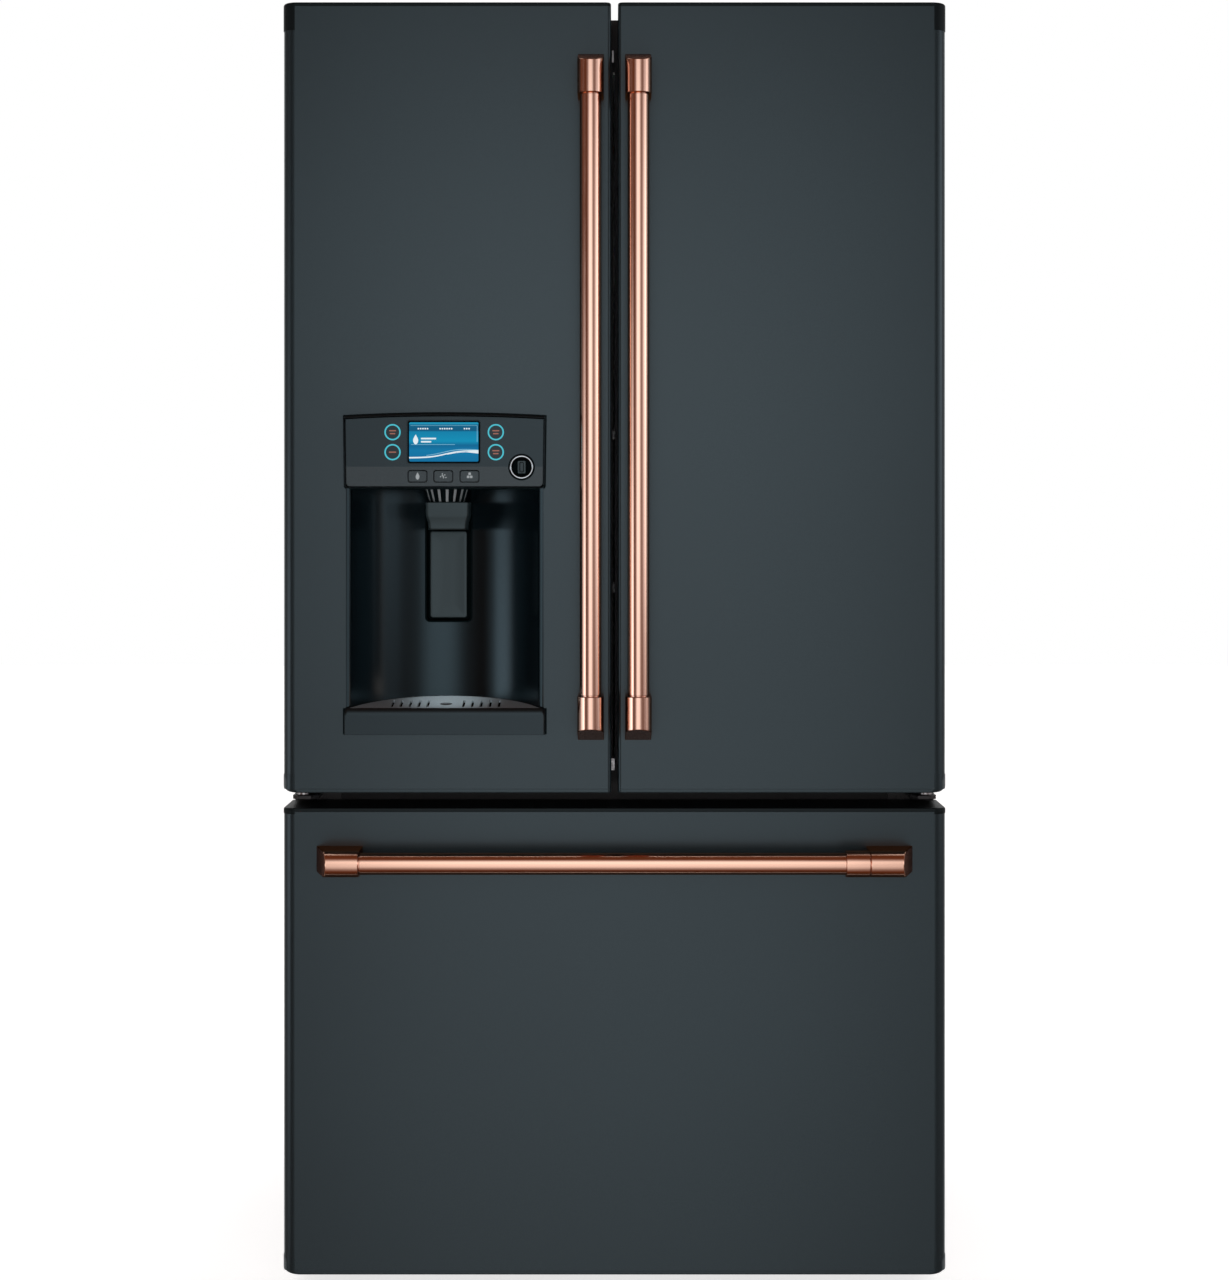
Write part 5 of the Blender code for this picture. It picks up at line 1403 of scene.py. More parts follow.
def make_centre_hinge(side, word):
    """The bracket in the gap over the drawer: plate, pin, spacer washer and screwed flange."""
    pin_x, pin_y = side * PIN_X, PIN_Y
    top = 0.684
    inner, outer = pin_x - side * 0.022, pin_x + side * 0.014
    back = CASE_FRONT - 0.0004
    outline = [
        (inner, back), (inner, pin_y - 0.004), (pin_x - side * 0.012, pin_y - 0.0155),
        (pin_x + side * 0.006, pin_y - 0.0155), (outer, pin_y - 0.006), (outer, back),
    ]
    name, bm = f"{word}_centre_plate", prism(outline, Z, top - 0.006, top)
    piece(name, bm, "cabinet", ENAMEL, [f"center_hinge_{word}"], bevel=0.0010)
    front = CASE_FRONT - 0.0042
    x, z = side_span(side, (0.385, 0.446)), (0.658, top - 0.0005)
    bm = plate(x, z, 0.004, 5, Y, front, CASE_FRONT - 0.0003)
    piece(f"{word}_centre_flange", bm, "cabinet", ENAMEL, bevel=0.0006)
    bm = rod((pin_x, pin_y, top - 0.001), (pin_x, pin_y, top + 0.024), 0.006, 28)
    rod((pin_x, pin_y, top), (pin_x, pin_y, top + 0.0035), 0.0095, 28, bm)
    piece(f"{word}_centre_pin", bm, "cabinet", ZINC, bevel=0.0005)
    place = (side * 0.394, front, 0.667)
    screws(f"{word}_centre_screws", "cabinet", [place], (0, -1, 0), 0.0036)


def make_mullion():
    """The folding centre strip: an extruded face with two grooves, and end plugs."""
    name = "mullion"
    x, y, z = spans(name)
    levels = [
        (0.0030, z[0]), (0.0006, z[0] + 0.0015), (0.0, z[0] + 0.004), (0.0, z[1] - 0.004),
        (0.0006, z[1] - 0.0015), (0.0030, z[1]),
    ]
    bm = stack(x, y, levels, 0.003, 5, Z)
    strip = piece("mullion_strip", bm, name, GREY_PLASTIC, [name], angle=35)
    grooves = []
    for share in (0.30, 0.70):
        v = around(y[0] + (y[1] - y[0]) * share, 0.0015)
        grooves.append(block((x[0] - 0.01, x[0] + 0.0012), v, grow(z, -0.02)))
    cut(strip, *grooves)
    plug = bmesh.new()
    for level in grow(z, -0.015):
        v = (y[1] - 0.012, y[1] - 0.001)
        plate(grow(x, -0.003), v, 0.002, 4, Z, *around(level, 0.010), plug)
    piece("mullion_plugs", plug, name, BLACK_PLASTIC)


# ---------------------------------------------------------------- fresh food compartment
def make_liners():
    """The fresh food tub, with its air tower, shelf ladders and ceiling lamps."""
    x, z = span("fresh_food_liner", X), span("fresh_food_liner", Z)
    front, back = span("fresh_food_liner", Y)
    bm = tub(x, z, back, front, LINER_WALL, 0.020, 0.018, Y, steps=8)
    piece("food_compartment", bm, "cabinet", WHITE_PLASTIC, ["fresh_food_liner"], angle=40)
    wall = back - LINER_WALL
    tower_x, tower_z = (-0.115, 0.115), (z[0] + 0.27, z[1] - 0.10)
    levels = [
        (inset, wall - y)
        for inset, y in ((0.0, 0.0002), (0.001, 0.0035), (0.003, 0.0050), (0.006, 0.0056))
    ]
    bm = stack(tower_x, tower_z, levels, 0.020, 8, Y, shrink=1.0)
    tower = piece("air_tower", bm, "cabinet", WHITE_PLASTIC, angle=40)
    vent_y = (wall - 0.0075, wall - 0.003)
    vents = [
        plate(around(0.026 * number, 0.009), around(level, 0.0022), 0.002, 4, Y, *vent_y)
        for level in (1.06, 1.30, 1.55)
        for number in range(-3, 4)
    ]
    cut(tower, *vents)
    rails_x = (-0.150, 0.150)
    bm = bmesh.new()
    for u in rails_x:
        block(around(u, 0.009), (wall - 0.0022, wall - 0.0002), (1.01, 1.63), bm)
    rails = piece("shelf_ladders", bm, "cabinet", TRIM, bevel=0.0004)
    tool = bmesh.new()
    for number in range(20):
        level = 1.03 + 0.030 * number
        for u in rails_x:
            hole_y = (wall - 0.004, wall - 0.0010)
            block(around(u, 0.0025), hole_y, (level, level + 0.012), tool)
    cut(rails, tool)
    ceiling = z[1] - LINER_WALL
    for side, word in WORD.items():
        drops = ((0.0, 0.0002), (0.0006, 0.0050), (0.0030, 0.0068), (0.0090, 0.0074))
        levels = [(inset, ceiling - drop) for inset, drop in drops]
        x = side_span(side, (0.080, 0.240))
        bm = stack(x, (0.020, 0.080), levels, 0.018, 8, Z, shrink=1.0)
        piece(f"ceiling_lamp_{word}", bm, "cabinet", LAMP, angle=40)
    make_freezer_liner()


def make_freezer_liner():
    """The freezer tub steps up over the machine compartment at its back."""
    x, y, z = spans("freezer_liner")
    front, back = y
    step_y, step_z = 0.180, 0.260
    wall = LINER_WALL

    def profile(mouth, inset):
        """The side view of the tub, or of its hollow, inset by the wall."""
        low_z, high_z, shift = z[0] + inset, z[1] - inset, 0.012 + inset
        path = [(mouth, low_z)] + arc((step_y - shift, z[0] + shift), 0.012, 270, 360, 5)
        path += arc((step_y + 0.010 - inset, step_z - 0.010 + inset), 0.010, 180, 90, 5)
        path += arc((back - shift, step_z + shift), 0.012, 270, 360, 5)
        path += arc((back - shift, z[1] - shift), 0.012, 0, 90, 5)
        return path + [(mouth, high_z)]

    bm = prism(profile(front, 0.0), X, *x)
    shell = piece(
        "freezer_compartment", bm, "cabinet", WHITE_PLASTIC, ["freezer_liner"], angle=40
    )
    cut(shell, prism(profile(front - 0.01, wall), X, *grow(x, -wall)))
    levels = [
        (inset, back - wall - y) for inset, y in ((0.0, 0.0002), (0.001, 0.006), (0.006, 0.009))
    ]
    bm = stack((-0.34, 0.34), (0.300, 0.600), levels, 0.02, 6, Y, shrink=1.0)
    cover = piece("evaporator_cover", bm, "cabinet", WHITE_PLASTIC, angle=40)
    slot_y = (back - wall - 0.012, back - wall - 0.004)
    slots = [
        plate(around(-0.28 + 0.07 * number, 0.026), (0.560, 0.566), 0.0028, 4, Y, *slot_y)
        for number in range(9)
    ]
    cut(cover, *slots)


def make_shelf(name):
    """Tempered glass in a moulded frame with a satin front rail."""
    x, y, z = spans(name)
    top = z[1]
    pane_y = (y[0] + 0.012, y[1] - 0.010)
    bm = plate(grow(x, -0.010), pane_y, 0.004, 5, Z, top - 0.0048, top - 0.0008)
    piece(f"{name}_pane", bm, "cabinet", GLASS, [name], bevel=0.0006)
    levels = [
        (0.0, top - 0.012), (0.0, top - 0.0012), (0.0008, top), (0.0100, top),
        (0.0110, top - 0.0012), (0.0110, top - 0.0050), (0.0080, top - 0.012),
    ]
    bm = stack(x, y, levels, 0.006, 5, Z, cyclic=True)
    piece(f"{name}_frame", bm, "cabinet", WHITE_PLASTIC, angle=40)
    rail_y, rail_z = (y[0] - 0.0006, y[0] + 0.0105), (z[0], top + 0.0002)
    bm = plate(rail_y, rail_z, 0.0028, 5, X, *grow(x, -0.001))
    piece(f"{name}_rail", bm, "cabinet", TRIM, angle=40)


def make_shelves():
    for name in ("shelf_upper_left", "shelf_upper_right", "shelf_lower", "crisper_cover"):
        make_shelf(name)


def make_crispers():
    """Clear drawers with a satin finger rail, a frosted front band and a humidity slider."""
    for word in WORD.values():
        name = f"crisper_{word}"
        x, y, z = spans(name)
        front, top = y[0] + 0.016, z[1]
        bm = tub(x, (front, y[1]), *z, 0.0028, 0.018, 0.014, Z, 0.006)
        piece(f"{name}_tub", bm, name, CLEAR, [name], angle=40)
        pull_y, pull_z = (y[0], front + 0.0030), (top - 0.0150, top - 0.0035)
        bm = plate(pull_y, pull_z, 0.003, 5, X, *grow(x, -0.020))
        piece(f"{name}_pull", bm, name, TRIM, bevel=0.0006)
        band_z = (top - 0.060, top - 0.020)
        bm = plate(grow(x, -0.022), band_z, 0.006, 5, Y, front - 0.0014, front - 0.0001)
        piece(f"{name}_band", bm, name, FROSTED, bevel=0.0004)
        centre = sum(x) / 2
        bm = bmesh.new()
        for start, end, proud, low_z, high_z in (
            (-0.050, 0.050, 0.0026, 0.045, 0.040), (0.012, 0.024, 0.0040, 0.049, 0.036)
        ):
            slider_y = (front - proud, front - 0.0013)
            block((centre + start, centre + end), slider_y, (top - low_z, top - high_z), bm)
        piece(f"{name}_slider", bm, name, GREY_PLASTIC, bevel=0.0005)


def make_filter():
    """The water filter cartridge and the housing that it twists into."""
    name = "water_filter"
    y = span(name, Y)
    x, z = centre_of(name, X), centre_of(name, Z)
    nose = y[0] + 0.018
    profile = [
        (0.0002, nose), (0.0240, nose), (0.0280, nose + 0.0012), (0.0296, nose + 0.004),
        (0.0300, nose + 0.010), (0.0300, 0.1200), (0.0294, 0.1206), (0.0294, 0.1236),
        (0.0300, 0.1242), (0.0300, 0.286), (0.0290, 0.296), (0.0220, 0.300), (0.0218, y[1]),
        (0.0002, y[1]),
    ]
    bm = turned(profile, (x, 0, z), Y, 56)
    piece("filter_cartridge", bm, name, WHITE_PLASTIC, [name], angle=35)
    bm = plate(around(x, 0.0235), around(z, 0.0048), 0.0040, 5, Y, y[0], nose + 0.001)
    piece("filter_grip", bm, name, GREY_PLASTIC, bevel=0.0010)
    ceiling = high("fresh_food_liner", Z) - LINER_WALL
    bm = plate(around(x, 0.036), (z + 0.0312, ceiling - 0.0001), 0.003, 4, Y, 0.110, 0.340)
    piece("filter_bracket", bm, "cabinet", WHITE_PLASTIC, bevel=0.0015)


# ---------------------------------------------------------------- what the doors carry inside
def make_bins():
    """Clear door bins with a satin rail, and the ledges that hold them."""
    for name, side in (("left_door_bin", LEFT), ("middle_bin", RIGHT), ("lower_bin", RIGHT)):
        body = f"{WORD[side]}_door"
        x, y, z = spans(name)
        bm = tub(x, y, *z, 0.0028, 0.016, 0.010, Z, 0.004)
        piece(f"{name}_tub", bm, body, CLEAR, [name], angle=40)
        rail_z = (z[1] - 0.0130, z[1] - 0.0020)
        bm = plate(grow(x, -0.018), rail_z, 0.004, 5, Y, y[1] - 0.0006, y[1] + 0.0012)
        piece(f"{name}_rail", bm, body, TRIM, bevel=0.0004)
        bm = bmesh.new()
        for edge in side_span(side, (0.0642, 0.3838)):
            sense = 1 if abs(edge) < 0.2 else -1
            ledge_x = tuple(sorted((edge, edge + side * sense * 0.0016)))
            block(ledge_x, (y[0] + 0.010, y[1] - 0.072), (z[0] + 0.020, z[0] + 0.060), bm)
        piece(f"{name}_ledges", bm, body, WHITE_PLASTIC, bevel=0.0004)


def make_dairy():
    """The dairy compartment and its hinged clear lid with a finger tab."""
    name, lid = "dairy_bin", "dairy_lid"
    x, y, z = spans(name)
    bm = tub(x, z, *y, 0.0028, 0.010, 0.004, Y)
    piece("dairy_shell", bm, "right_door", FROSTED, [name], angle=40)
    x, y, z = spans(lid)
    bm = plate(x, z, 0.008, 6, Y, y[0], y[1] - 0.0004)
    piece("dairy_cover", bm, lid, CLEAR, [lid], bevel=0.0005)
    tab_x, tab_z = around(sum(x) / 2, 0.060), (z[0] + 0.004, z[0] + 0.014)
    bm = plate(tab_x, tab_z, 0.003, 5, Y, y[1] - 0.0006, y[1] + 0.0040)
    piece("dairy_tab", bm, lid, TRIM, bevel=0.0008)
    ends = [(u, sum(y) / 2, z[1] - 0.0018) for u in grow(x, -0.0005)]
    piece("dairy_pin", rod(*ends, 0.0013, 16), lid, TRIM)


def make_ice_maker():
    """The insulated ice box with its maker and bucket, and its door with a latch."""
    name, lid, body = "ice_box", "ice_box_door", "left_door"
    x, y, z = spans(name)
    bm = tub(x, z, *y, 0.013, 0.016, 0.006, Y, steps=8, lip=0.002)
    piece("ice_case", bm, body, WHITE_PLASTIC, [name], angle=40)
    bucket_y, bucket_z = (y[0] + 0.018, y[1] - 0.008), (z[0] + 0.016, z[0] + 0.250)
    bm = tub(grow(x, -0.022), bucket_y, *bucket_z, 0.003, 0.014, 0.012, Z, 0.006)
    piece("ice_bucket", bm, body, FROSTED, angle=40)
    tray_x, tray_y = grow(x, -0.040), (y[0] + 0.030, y[1] - 0.020)
    tray_z = (z[1] - 0.110, z[1] - 0.060)
    bm = tub(tray_x, tray_y, *tray_z, 0.004, 0.010, 0.010, Z, 0.010)
    for number in range(1, 7):
        u = x[0] + 0.040 + (x[1] - x[0] - 0.080) * number / 7
        block(around(u, 0.001), grow(tray_y, -0.006), (z[1] - 0.104, z[1] - 0.066), bm)
    piece("ice_maker_tray", bm, body, GREY_PLASTIC, angle=40)
    bm = block((x[0] + 0.015, x[0] + 0.038), tray_y, (z[1] - 0.130, z[1] - 0.040))
    piece("ice_maker_motor", bm, body, WHITE_PLASTIC, bevel=0.003)
    x, y, z = spans(lid)
    levels = [
        (0.0, y[0]), (0.0, y[1] - 0.005), (0.0012, y[1] - 0.0018), (0.0050, y[1]),
        (0.0240, y[1]), (0.0270, y[1] - 0.0022), (0.0300, y[1] - 0.0022),
    ]
    bm = stack(x, z, levels, 0.014, 8, Y)
    piece("ice_door_panel", bm, lid, WHITE_PLASTIC, [lid], angle=35)
    levels = [
        (inset, y[1] + proud)
        for inset, proud in ((0.0, 0.0001), (0.0008, 0.0050), (0.0026, 0.0066), (0.0050, 0.0070))
    ]
    latch_x, latch_z = (x[1] - 0.030, x[1] - 0.008), around(sum(z) / 2, 0.035)
    bm = stack(latch_x, latch_z, levels, 0.006, 6, Y)
    piece("ice_door_latch", bm, lid, GREY_PLASTIC, angle=40)


# ---------------------------------------------------------------- freezer drawer's inside
def make_freezer():
    """The basket, the tray over it, and the telescopic slides."""
    name, body = "freezer_basket", "freezer_drawer"
    y, z = span(name, Y), span(name, Z)
    half = 0.372
    tub_x, tub_y = around(0.0, half - 0.002), (y[0] + 0.0016, y[1])
    bm = tub(tub_x, tub_y, *z, 0.0030, 0.022, 0.020, Z, 0.010, 8)
    piece("basket_tub", bm, body, FROSTED, [name], angle=40)
    top = z[1]
    levels = [
        (0.0, top - 0.012), (0.0, top - 0.0002), (0.0055, top - 0.0002), (0.0055, top - 0.003),
        (0.0020, top - 0.012),
    ]
    bm = stack((-half, half), (y[0] + 0.0005, y[1]), levels, 0.022, 8, Z, cyclic=True)
    piece("basket_rim", bm, body, WHITE_PLASTIC, angle=40)
    basket_y = y
    name = "sliding_tray"
    x, y, z = spans(name)
    bm = tub(x, y, *z, 0.0028, 0.018, 0.012, Z, 0.006, 8)
    piece("tray_tub", bm, name, CLEAR, [name], angle=40)
    rail_y, rail_z = (y[0] - 0.0004, y[0] + 0.0024), (z[1] - 0.016, z[1] - 0.001)
    bm = plate(rail_y, rail_z, 0.0012, 4, X, *grow(x, -0.020))
    piece("tray_rail", bm, name, TRIM)
    for side, word in WORD.items():
        rail, mid = f"slide_rail_{word}", f"slide_mid_{word}"
        inner = f"slide_inner_{word}"
        for member, body, x_span, half_height, y, replaced in (
            (rail, "cabinet", (0.3925, 0.4012), 0.020, span(rail, Y), [rail]),
            (mid, mid, (0.3835, 0.3915), 0.015, span(mid, Y), [mid]),
            (inner, "freezer_drawer", (0.3722, 0.3825), 0.011, basket_y, []),
        ):
            make_channel(f"{member}_channel", body, side, x_span, half_height, y, replaced)


def make_channel(name, body, side, x_span, half_height, y, replaced):
    """A rolled steel channel with lips and rivet heads."""
    inner, outer = x_span
    sheet, lip = 0.0014, 0.004
    centre = centre_of("slide_rail_left", Z)
    base, top = around(centre, half_height)
    outline = [
        (outer, base), (outer, top), (inner, top), (inner, top - lip), (inner + sheet, top - lip),
        (inner + sheet, top - sheet), (outer - sheet, top - sheet), (outer - sheet, base + sheet),
        (inner + sheet, base + sheet), (inner + sheet, base + lip), (inner, base + lip),
        (inner, base),
    ]
    outline = [(side * u, v) for u, v in outline]
    piece(name, prism(outline, Y, *y), body, ZINC, replaced, bevel=0.0003)
    bm = bmesh.new()
    for share in (0.06, 0.30, 0.62, 0.94):
        w = y[0] + (y[1] - y[0]) * share
        ends = [(side * (outer - sheet - depth), w, centre) for depth in (0.0001, 0.0014)]
        rod(*ends, 0.0032, 20, bm, 0.0022)
    piece(f"{name}_rivets", bm, body, ZINC)


# ---------------------------------------------------------------- base and machine compartment
def make_base():
    """Feet, rollers, the slotted rear cover and what stands behind it."""
    for word in WORD.values():
        name = f"leveling_leg_{word}"
        profile = [
            (0.0002, 0.0), (0.0155, 0.0), (0.0168, 0.0008), (0.0170, 0.0020), (0.0168, 0.0078),
            (0.0150, 0.0096), (0.0080, 0.0100), (0.0060, 0.0104), (0.0052, 0.0120),
        ]
        for number in range(9):
            level = 0.0125 + 0.0015 * number
            profile += [(0.0052, level), (0.0045, level + 0.00075)]
        profile += [(0.0050, 0.0266), (0.0002, 0.0268)]
        bm = turned(profile, (centre_of(name, X), centre_of(name, Y), 0), Z, 40)
        piece(f"{name}_foot", bm, name, GREY_PLASTIC, [name], angle=35)
        name = f"rear_roller_{word}"
        x = span(name, X)
        y, z = centre_of(name, Y), centre_of(name, Z)
        half_profile = (
            (0.0041, 0.0), (0.0090, 0.0), (0.0095, 0.003), (0.0160, 0.003), (0.0165, 0.0),
            (0.0186, 0.0), (0.0197, 0.0010), (0.0200, 0.0026),
        )
        profile = [(radius, x[0] + inset) for radius, inset in half_profile]
        profile += [(radius, x[1] - inset) for radius, inset in half_profile[::-1]]
        bm = turned(profile, (0, y, z), X, 48)
        wheel = piece(f"{name}_wheel", bm, name, GREY_PLASTIC, [name], angle=35)
        holes = []
        for number in range(5):
            turn = 2 * pi * number / 5
            v, w = y + 0.0128 * cos(turn), z + 0.0128 * sin(turn)
            holes.append(rod(*[(u, v, w) for u in grow(x, 0.01)], 0.0020, 16))
        cut(wheel, *holes)
    cover = "machine_cover"
    x, y, z = spans(cover)
    levels = [
        (0.0, y[0]), (0.0, y[1] - 0.0030), (0.0008, y[1] - 0.0010), (0.0030, y[1]),
        (0.0200, y[1]), (0.0220, y[1] - 0.0016), (0.0240, y[1] - 0.0016),
    ]
    bm = stack(x, z, levels, 0.008, 5, Y)
    shell = piece("rear_cover", bm, "cabinet", COVER_PLASTIC, [cover], angle=35)
    hollow = block(grow(x, -0.002), (y[0] - 0.01, y[1] - 0.0040), grow(z, -0.002))
    slots = bmesh.new()
    for column in range(2):
        for row in range(7):
            u, v = -0.335 + 0.370 * column, z[0] + 0.034 + 0.020 * row
            plate((u, u + 0.300), (v, v + 0.006), 0.0028, 4, Y, y[0], y[1] + 0.01, slots)
    cut(shell, hollow, slots)
    columns = (x[0] + 0.030, 0.0, x[1] - 0.030)
    places = [(u, y[1] - 0.0022, v) for u in columns for v in grow(z, -0.029)]
    screws("cover_screws", "cabinet", places, (0, 1, 0), 0.0038)
    make_machinery()


def make_machinery():
    """The compressor, fan and condenser in the machine compartment."""
    name, body = "compressor", "cabinet"
    x, y = centre_of(name, X), centre_of(name, Y)
    crown = high(name, Z)
    profile = [(0.0003, crown)]
    for step in range(1, 9):
        turn = pi / 2 * step / 8
        profile.append((0.072 * sin(turn), crown - 0.030 * (1 - cos(turn))))
    profile += [
        (0.0775, 0.150), (0.0790, 0.120), (0.0838, 0.1175), (0.0840, 0.1105), (0.0790, 0.1080),
        (0.0765, 0.085), (0.0700, 0.066), (0.0500, 0.058), (0.0003, 0.056),
    ]
    bm = turned(profile, (x, y, 0), Z, 64)
    piece("compressor_shell", bm, body, ENAMEL, [name], angle=35)
    bm = plate(around(x, 0.105), around(y, 0.062), 0.012, 6, Z, 0.0440, 0.0475)
    piece("compressor_plate", bm, body, ZINC, bevel=0.0008)
    profile = [
        (0.0002, 0.0330), (0.0100, 0.0330), (0.0115, 0.0360), (0.0085, 0.0385),
        (0.0115, 0.0410), (0.0100, 0.0438), (0.0002, 0.0438),
    ]
    bm = bmesh.new()
    for u in around(x, 0.090):
        for v in around(y, 0.048):
            turned(profile, (u, v, 0), Z, 24, bm)
    piece("compressor_mounts", bm, body, RUBBER, angle=40)
    bm = block((x + 0.066, x + 0.100), around(y, 0.030), (0.090, 0.150))
    piece("compressor_terminals", bm, body, BLACK_PLASTIC, bevel=0.003)
    x, y = (centre_of("condenser_fan", axis) for axis in (X, Y))
    for number in range(3):
        turn = 2 * pi * number / 3 + pi / 2
        tip = Vector((x + 0.030, y + 0.078 * cos(turn), FAN_Z + 0.078 * sin(turn)))
        bm = rod(Vector((x + 0.030, y, FAN_Z)), tip, 0.0028, 12)
        piece(f"fan_stay_{number}", bm, body, ENAMEL)
    bm = rod((x + 0.018, y, FAN_Z), (x + 0.050, y, FAN_Z), 0.021, 32)
    piece("fan_motor", bm, body, ENAMEL, bevel=0.003)
    u0, u1 = x - 0.016, x + 0.032
    profile = [(0.0760, u0), (0.0790, u0), (0.0790, u1), (0.0760, u1)]
    bm = turned(profile, (0, y, FAN_Z), X, 56)
    piece("fan_shroud", bm, body, BLACK_PLASTIC, angle=40)
    make_fan()
    make_coil(x + 0.080)


def make_fan():
    """Five twisted blades on a domed hub."""
    name = "condenser_fan"
    x, y = (centre_of(name, axis) for axis in (X, Y))
    hub = (
        (0.0003, -0.014), (0.0170, -0.014), (0.0205, -0.011), (0.0218, -0.006),
        (0.0218, 0.014), (0.0003, 0.014),
    )
    section = (
        (-1, 0.0004), (-0.3, 0.0012), (0.5, 0.0010), (1, 0.0004), (0.5, -0.0006),
        (-0.3, -0.0008),
    )
    bm = turned([(radius, x + u) for radius, u in hub], (0, y, FAN_Z), X, 40)
    for number in range(5):
        rings = []
        for step in range(9):
            share = step / 8
            radius = 0.019 + 0.048 * share
            pitch = radians(58 - 30 * share)
            chord = 0.017 + 0.010 * sin(pi * share * 0.8)
            sweep = 2 * pi * number / 5 + 0.25 * share
            ring = []
            for along, thick in section:
                axial = along * chord * cos(pitch) * 0.5 + thick
                turn = sweep + along * chord * sin(pitch) / radius
                ring.append((x + axial, y + radius * cos(turn), FAN_Z + radius * sin(turn)))
            rings.append(ring)
        loft(bm, rings)
    piece("fan_rotor", bm, name, BLACK_PLASTIC, [name], angle=50)


def make_coil(start_x):
    """The condenser: one tube bent to and fro through a pack of thin plates."""
    y0, y1 = 0.262, 0.405
    points = []
    rows = 6
    for layer in range(3):
        u = start_x + 0.045 * layer
        order = range(rows) if layer % 2 == 0 else range(rows - 1, -1, -1)
        for number in order:
            level = 0.070 + 0.024 * number
            run = (y0, y1) if (number + layer * rows) % 2 == 0 else (y1, y0)
            points += [(u, v, level) for v in run]
    tube = bpy.data.curves.new("condenser_tube", "CURVE")
    tube.dimensions = "3D"
    tube.bevel_depth = 0.003
    tube.bevel_resolution = 3
    tube.use_fill_caps = True
    spline = tube.splines.new("POLY")
    path = rounded_path(points, 0.009)
    spline.points.add(len(path) - 1)
    for place, point in zip(path, spline.points):
        point.co = (*place, 1)
    tube.materials.append(ENAMEL)
    made = bpy.data.objects.new("condenser_tube", tube)
    bpy.context.scene.collection.objects.link(made)
    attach(made, "cabinet")
    bm = bmesh.new()
    for number in range(14):
        v = y0 + 0.012 + (y1 - y0 - 0.024) * number / 13
        block((start_x - 0.008, start_x + 0.098), around(v, 0.0003), (0.062, 0.200), bm)
    piece("condenser_fins", bm, "cabinet", ENAMEL)


def rounded_path(points, radius, steps=5):
    """The points of a path with its corners rounded."""
    path = [Vector(points[0])]
    for before, corner, after in zip(points, points[1:], points[2:]):
        before, corner, after = Vector(before), Vector(corner), Vector(after)
        reach = min(radius, (before - corner).length * 0.49, (after - corner).length * 0.49)
        first = corner + (before - corner).normalized() * reach
        last = corner + (after - corner).normalized() * reach
        for step in range(steps + 1):
            t = step / steps
            path.append(first * (1 - t) ** 2 + corner * 2 * t * (1 - t) + last * t**2)
    path.append(Vector(points[-1]))
    return path


# ---------------------------------------------------------------- stage, light and camera
def make_stage():
    size = 14.0
    floor = new_object("studio_floor", block((-size, size), (-size, size), (-0.02, 0.0)))
    floor.data.materials.append(finish(
        "pale_floor", "white_liner", (0.86, 0.86, 0.86), 0.7, grain=40.0, spread=0.01,
        relief=0.02, Emission_Color=(1, 1, 1, 1), Emission_Strength=0.70,
    ))
    floor.visible_glossy = False
    floor.visible_shadow = False


# Light by direction: each part has a tint, a curve over azimuth and a curve over elevation, in
# degrees. Azimuth 0 is out of the doors, and grows to their right.
LEFT_STRIP = (
    (0.98, 1.0, 1.05),
    (
        (-180, 0.0), (-106, 0.0), (-95, 0.30), (-85, 1.0), (-76, 1.2), (-68, 1.95),
        (-60, 1.95), (-52, 0.45), (-44, 0.0), (180, 0.0),
    ),
    (
        (-90, 0.0), (-18, 0.02), (-12, 0.33), (-8, 0.78), (-5, 1.0), (-1, 0.80), (3, 0.32),
        (7, 0.02), (90, 0.0),
    ),
)
RIGHT_STRIP = (
    (0.98, 1.0, 1.05),
    (
        (-180, 0.0), (35, 0.0), (44, 0.4), (53, 0.95), (63, 1.0), (72, 1.85), (85, 1.85),
        (98, 0.45), (112, 0.0), (180, 0.0),
    ),
    (
        (-90, 0.0), (-9, 0.03), (-4, 0.22), (0, 0.70), (4, 1.0), (7, 0.95), (11, 0.52),
        (17, 0.04), (90, 0.0),
    ),
)
WARM_FILL = (
    (1.0, 0.33, 0.14),
    ((-180, 0.0), (-125, 0.0), (-100, 0.10), (100, 0.10), (125, 0.0), (180, 0.0)),
    ((-90, 0.4), (-60, 1.1), (-20, 1.0), (25, 1.0), (55, 1.2), (90, 1.0)),
)
BACK_LIGHT = (
    (1.0, 1.0, 1.0),
    (
        (-180, 0.75), (-135, 0.55), (-112, 0.12), (-95, 0.0), (95, 0.0), (112, 0.12),
        (132, 0.55), (180, 0.75),
    ),
    ((-90, 0.7), (0, 1.0), (40, 1.3), (90, 1.3)),
)
OVERHEAD = (
    (1.0, 1.0, 1.0),
    ((-180, 1.0), (-110, 1.0), (-80, 0.0), (80, 0.0), (110, 1.0), (180, 1.0)),
    ((-90, 0.0), (35, 0.0), (60, 0.5), (90, 0.8)),
)
LEVEL_CEILING = 2.0


def combine(tree, operation, *sources):
    made = node(tree, "ShaderNodeMath", operation=operation)
    for socket, source in zip(made.inputs, sources):
        if isinstance(source, float):
            socket.default_value = source
        else:
            link(tree, source, socket)
    return made.outputs[0]


def curve(tree, source, stops):
    """A smooth curve of levels through (place, level) stops."""
    start, end = stops[0][0], stops[-1][0]
    ramp = node(tree, "ShaderNodeValToRGB")
    ramp.color_ramp.interpolation = "EASE"
    elements = ramp.color_ramp.elements
    elements.remove(elements[1])
    for number, (place, level) in enumerate(stops):
        position = (place - start) / (end - start)
        stop = elements[0] if number == 0 else elements.new(position)
        stop.position = position
        stop.color = (level / LEVEL_CEILING,) * 3 + (1.0,)
    link(tree, scalar(tree, source, 0.0, 1.0, start, end), ramp.inputs[0])
    return combine(tree, "MULTIPLY", ramp.outputs["Color"], LEVEL_CEILING)


